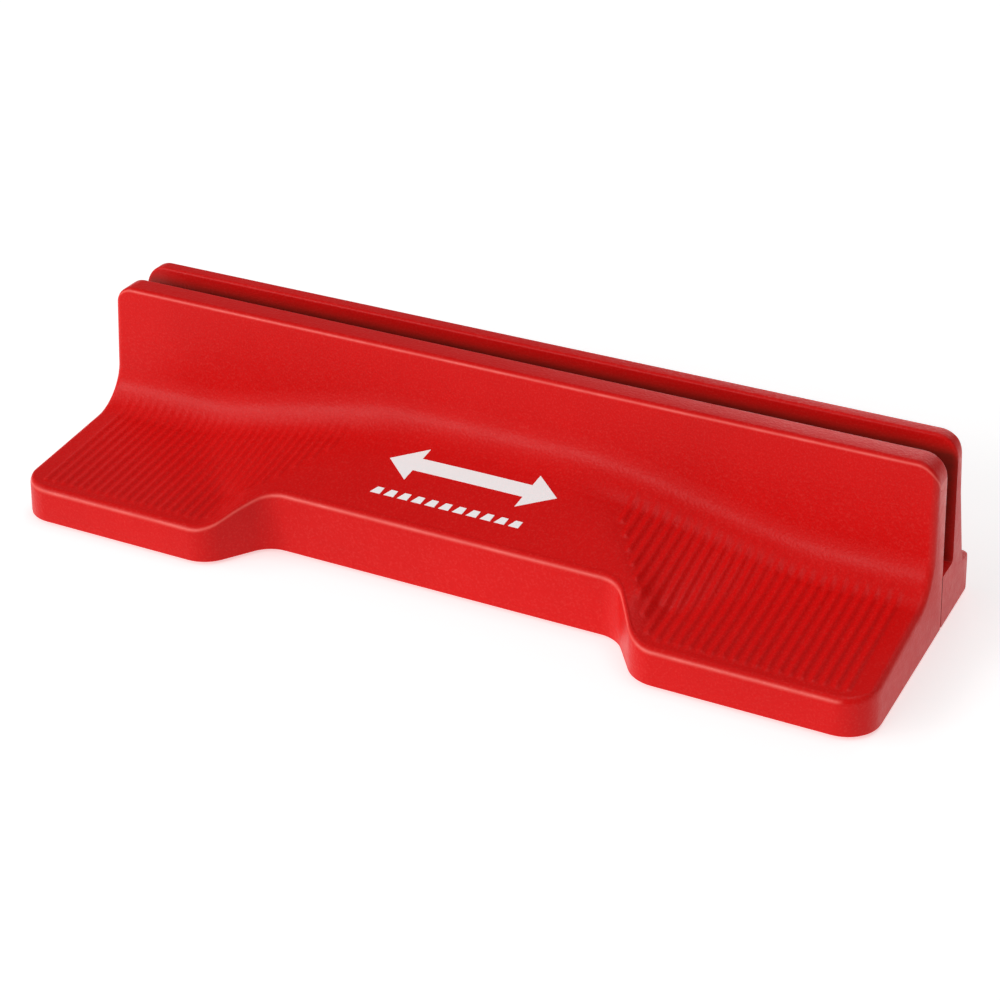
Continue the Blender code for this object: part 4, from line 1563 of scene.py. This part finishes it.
@dataclass
class SharedCuts:
    """Makes the cutters that go through one moulding or both."""

    bar: Bar
    blade: FileBlade
    fasteners: Fasteners

    def box(self, name: str, low: Sequence[float], high: Sequence[float]) -> Piece:
        """A block between two places on the bar."""
        grid = block_grid(low, high)
        return Piece.from_grid(name, self.bar.placed(grid[..., 0], grid[..., 1], grid[..., 2]))

    def file_space(self) -> Piece:
        """The clearance round the blade.

        Returns:
            The cutter.
        """
        gap, blade = self.bar.gap, self.blade
        side, half, middle = blade.length / 2.0 + gap, blade.width / 2.0 + gap, self.bar.slot / 2.0
        low = (-side, middle - half, blade.top - blade.thickness - gap)
        return self.box("file_space", low, (side, middle + half, blade.top + gap))

    def pin_bores(self) -> list[Piece]:
        """Blind bores for the locating pins.

        Returns:
            The cutters.
        """
        gap, pins = self.bar.gap, self.fasteners
        radius, length = pins.pin_radius + gap, pins.pin_length + 2.0 * gap
        profile = [(0.0, 0.0), (radius, 0.0), (radius, length), (0.0, length)]
        start = -pins.pin_length / 2.0 - gap
        return self.bar.bores("pin_bore", profile, pins.pin_spots, start, Heading.REARWARD)

    def for_front(self, underside: Underside) -> list[Piece]:
        """Every cutter for the front moulding.

        Args:
            underside: Gives the recess and the pockets.

        Returns:
            The cutters.
        """
        bar, fast, past = self.bar, self.fasteners, 2.0 * MM
        deep = fast.insert_setback + fast.insert_length + bar.gap
        radius = fast.insert_radius + bar.gap
        cutters = [self.file_space(), *self.pin_bores(), *underside.body_cutters()]
        hole = [(0.0, 0.0), (radius, 0.0), (radius, deep + past), (0.0, deep + past)]
        cutters += bar.bores("insert_bore", hole, fast.spots, -deep, Heading.REARWARD)
        small = fast.plate_screw()
        radius, top = small.shank + bar.gap, small.length + small.head_height + bar.gap
        hole = [(0.0, -past), (radius, -past), (radius, top), (0.0, top)]
        return cutters + bar.bores("cover_bore", hole, fast.plate_spots, fast.plate_line, Heading.UP)

    def for_rear(self, underside: Underside) -> list[Piece]:
        """Every cutter for the rear jaw.

        Args:
            underside: Gives the rear pads' seats.

        Returns:
            The cutters.
        """
        bar, fast, rear, past = self.bar, self.fasteners, self.bar.rear, 2.0 * MM
        side, screw = self.blade.window, fast.clamp_screw()
        high = (side, bar.slot + 0.4 * MM, bar.floor + 1.4 * MM)
        window = self.box("slot_window", (-side, -past, self.blade.top), high)
        cutters = [self.file_space(), window, *self.pin_bores(), *underside.seat_cutters("rear")]
        shank, head = screw.shank + bar.gap, screw.head + bar.gap
        seat, lead = rear - fast.seat - bar.gap, 0.3 * MM
        hole = [(0.0, -past), (shank, -past), (shank, seat), (head, seat), (head, rear - lead)]
        hole += [(head + lead, rear), (head + lead, rear + MM), (0.0, rear + MM)]
        return cutters + bar.bores("clamp_bore", hole, fast.spots, 0.0, Heading.REARWARD)


# ---- printed sign ----


@dataclass
class SlideSign:
    """A plain working sign on the block: an arrow for sliding both ways over a strip of teeth."""

    front: FrontMoulding
    centre: tuple[float, float] = (-0.4 * MM, -15.2 * MM)
    thickness: float = 0.03 * MM
    sunk: float = 0.05 * MM
    slant: float = 0.18
    teeth: int = 11

    def patch(self, name: str, corners: Pairs) -> Piece:
        """A four-cornered patch of ink draped on the block.

        Its points mix the corners in two directions; each takes the block's height plus the ink's
        thickness above and less a little below, and the two sheets close at their rims.

        Args:
            name: Name of the patch.
            corners: Its four corners in millimetres about the sign's centre.

        Returns:
            The patch.
        """
        u = np.linspace(0.0, 1.0, 25)[:, None, None]
        v = np.linspace(0.0, 1.0, 13)[None, :, None]
        a, b, c, d = (np.asarray(corner) * MM for corner in corners)
        flat = (a * (1 - u) + b * u) * (1 - v) + (d * (1 - u) + c * u) * v
        x = flat[..., 0] + self.slant * flat[..., 1] + self.centre[0]
        y = flat[..., 1] + self.centre[1]
        height, bar = self.front.top(x, y), self.front.bar
        upper, lower = (bar.leaned(x, y, height + rise) for rise in (self.thickness, -self.sunk))
        return Piece.from_grid(name, np.concatenate([upper, lower[:, ::-1]], axis=1))

    def shapes(self) -> dict[str, Pairs]:
        """Corner points of every patch, in millimetres about the sign's centre.

        Returns:
            The arrow's shaft and two tips and the slanted teeth under it, by name.
        """
        half, shaft, head, tall, row = 15.2, 1.3, 5.2, 3.5, 2.3
        neck, low, high = half - head, row - shaft, row + shaft
        made = {"shaft": [(-neck, low), (neck, low), (neck, high), (-neck, high)]}
        for side in Side:
            tip, wing = (side.value * half, row), side.value * neck
            made[f"tip_{side.name.lower()}"] = [tip, (wing, row - tall), (wing, row + tall), tip]
        foot, deep, step, wide, lean, inset = -5.0, 1.3, 2.5, 1.8, 0.6, 1.6
        for number in range(self.teeth):
            start = -half + inset + number * step
            crest = [(start + wide, foot + deep), (start + lean, foot + deep)]
            made[f"tooth_{number}"] = [(start, foot), (start + wide, foot), *crest]
        return made

    def build(self, ink: Material) -> None:
        """Print every patch as one joined piece.

        Args:
            ink: Material for the print.
        """
        first, *others = [self.patch(name, corners) for name, corners in self.shapes().items()]
        work = bmesh.new()
        for part in (first, *others):
            work.from_mesh(part.item.data)
        work.to_mesh(first.item.data)
        work.free()
        for part in others:
            bpy.data.objects.remove(part.item, do_unlink=True)
        first.name = first.item.name = "slide_sign"
        first.finish(ink, "")


# ---- studio ----


@dataclass
class Softbox:
    """A rectangular lamp facing the object from a bearing, given by its brightness."""

    name: str
    azimuth: float
    elevation: float
    size: tuple[float, float]
    brightness: float
    distance: float = 1.5

    def build(self) -> None:
        """Make the lamp; its power is pi times its area times its brightness."""
        turn, rise = math.radians(self.azimuth), math.radians(self.elevation)
        level = math.cos(rise)
        bearing = Vector((math.sin(turn) * level, -math.cos(turn) * level, math.sin(rise)))
        light = bpy.data.lights.new(self.name, "AREA")
        light.shape = "RECTANGLE"
        light.size, light.size_y = self.size
        light.energy = math.pi * self.size[0] * self.size[1] * self.brightness
        lamp = bpy.data.objects.new(self.name, light)
        lamp.location = bearing * self.distance
        lamp.rotation_euler = (-bearing).to_track_quat("-Z", "Y").to_euler()
        bpy.context.scene.collection.objects.link(lamp)


@dataclass
class Studio:
    """Pale floor, soft lights and the camera."""

    eye: tuple[float, float, float] = (149.15 * MM, -292.08 * MM, 194.78 * MM)
    azimuth: float = 26.50
    elevation: float = 29.44
    lens: float = 83.30
    sensor: float = 36.0
    floor_half: float = 3.0
    ambient: float = 0.22
    floor_glow: float = 0.54
    lamps: tuple[Softbox, ...] = (
        Softbox("key", -28.0, 25.0, (1.2, 0.36), 7.5),
        Softbox("left", -64.0, 34.0, (0.9, 0.7), 2.5),
        Softbox("overhead", 112.0, 80.0, (0.8, 0.6), 2.7),
        Softbox("screen", 181.0, 16.0, (0.9, 0.45), 3.8),
    )

    def camera(self) -> None:
        """Place the camera and let it look along its azimuth and elevation."""
        data = bpy.data.cameras.new("studio_camera")
        data.lens = self.lens
        data.sensor_width = self.sensor
        data.clip_start = 0.01
        data.dof.use_dof = False
        eye = bpy.data.objects.new("studio_camera", data)
        eye.location = self.eye
        eye.rotation_euler = (math.radians(90.0 - self.elevation), 0.0, math.radians(self.azimuth))
        bpy.context.scene.collection.objects.link(eye)
        bpy.context.scene.camera = eye

    def floor(self) -> None:
        """A large pale sheet under the object."""
        side = self.floor_half
        mesh = bpy.data.meshes.new("pale_floor")
        corners = [(-side, -side, 0), (side, -side, 0), (side, side, 0), (-side, side, 0)]
        mesh.from_pydata(corners, [], [(0, 1, 2, 3)])
        item = bpy.data.objects.new("pale_floor", mesh)
        bpy.context.scene.collection.objects.link(item)
        nodes = Nodes("pale_floor")
        base = nodes.blend(nodes.noise(0.4), (0.70, 0.70, 0.70), (0.73, 0.73, 0.73))
        nodes.dress(Base_Color=base, Roughness=0.9, Specular_IOR_Level=0.1)
        nodes.dress(Emission_Color=WHITE, Emission_Strength=self.floor_glow)
        mesh.materials.append(nodes.material)

    def lights(self) -> None:
        """Even surroundings with a soft key from the front left and a white screen behind."""
        world = bpy.data.worlds.new("surroundings")
        world.use_nodes = True
        sky = world.node_tree.nodes["Background"]
        sky.inputs["Color"].default_value = WHITE
        sky.inputs["Strength"].default_value = self.ambient
        bpy.context.scene.world = world
        for lamp in self.lamps:
            lamp.build()

    def build(self) -> None:
        """Set up the whole studio."""
        self.camera()
        self.floor()
        self.lights()
        bpy.context.scene.view_settings.view_transform = "Standard"


@dataclass
class Palette:
    """Every finish, made once."""

    red: Material
    black: Material
    file_steel: Material
    steel: Material
    brass: Material
    rubber: Material
    ink: Material

    @classmethod
    def mixed(cls) -> "Palette":
        """Mix the finishes.

        Returns:
            The palette.
        """
        red, red_shade = (0.70, 0.0050, 0.0046), (0.64, 0.0042, 0.0038)
        # pale red of the worn edges and of the painted highlight on them
        red_wear_and_highlight = (0.96, 0.150, 0.125)
        black, black_shade = (0.030, 0.030, 0.032), (0.022, 0.022, 0.024)
        black_worn = (0.09, 0.09, 0.095)
        drawn, drawn_dark = (0.34, 0.35, 0.37), (0.20, 0.20, 0.215)
        bright, bright_dark = (0.62, 0.63, 0.66), (0.42, 0.42, 0.43)
        return cls(
            red=MouldedPlastic("moulded_red", red, red_shade, red_wear_and_highlight).build(),
            black=MouldedPlastic("black_plastic", black, black_shade, black_worn).build(),
            file_steel=WorkedMetal("file_steel", drawn, drawn_dark, 0.42, (1.0, 6.0, 6.0)).build(),
            steel=WorkedMetal("bright_steel", bright, bright_dark, 0.26).build(),
            brass=WorkedMetal("brass", (0.78, 0.57, 0.25), (0.50, 0.34, 0.14), 0.30).build(),
            rubber=PadRubber("pad_rubber", (0.035, 0.035, 0.038), (0.12, 0.12, 0.12)).build(),
            ink=PadInk("white_ink", (0.98, 0.98, 0.98), (0.90, 0.72, 0.72)).build(),
        )


def main() -> None:
    """Build the guide piece by piece and set up the studio."""
    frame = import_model()
    log.info("frame: %d nodes", len(frame["nodes"]))
    bar = Bar.from_frame()
    palette = Palette.mixed()
    front = FrontMoulding(bar)
    blade = FileBlade(bar)
    fasteners = Fasteners(bar)
    underside = Underside(bar)
    cuts = SharedCuts(bar, blade, fasteners)
    front.build(palette.red, cuts.for_front(underside))
    RearJaw(bar).build(palette.red, cuts.for_rear(underside))
    blade.build(palette.file_steel)
    fasteners.build(palette.steel, palette.brass)
    underside.plate(palette.black, fasteners)
    underside.pads(palette.rubber)
    SlideSign(front).build(palette.ink)
    Studio().build()


if __name__ == "__main__":
    logging.basicConfig(level=logging.INFO, format="%(message)s")
    main()
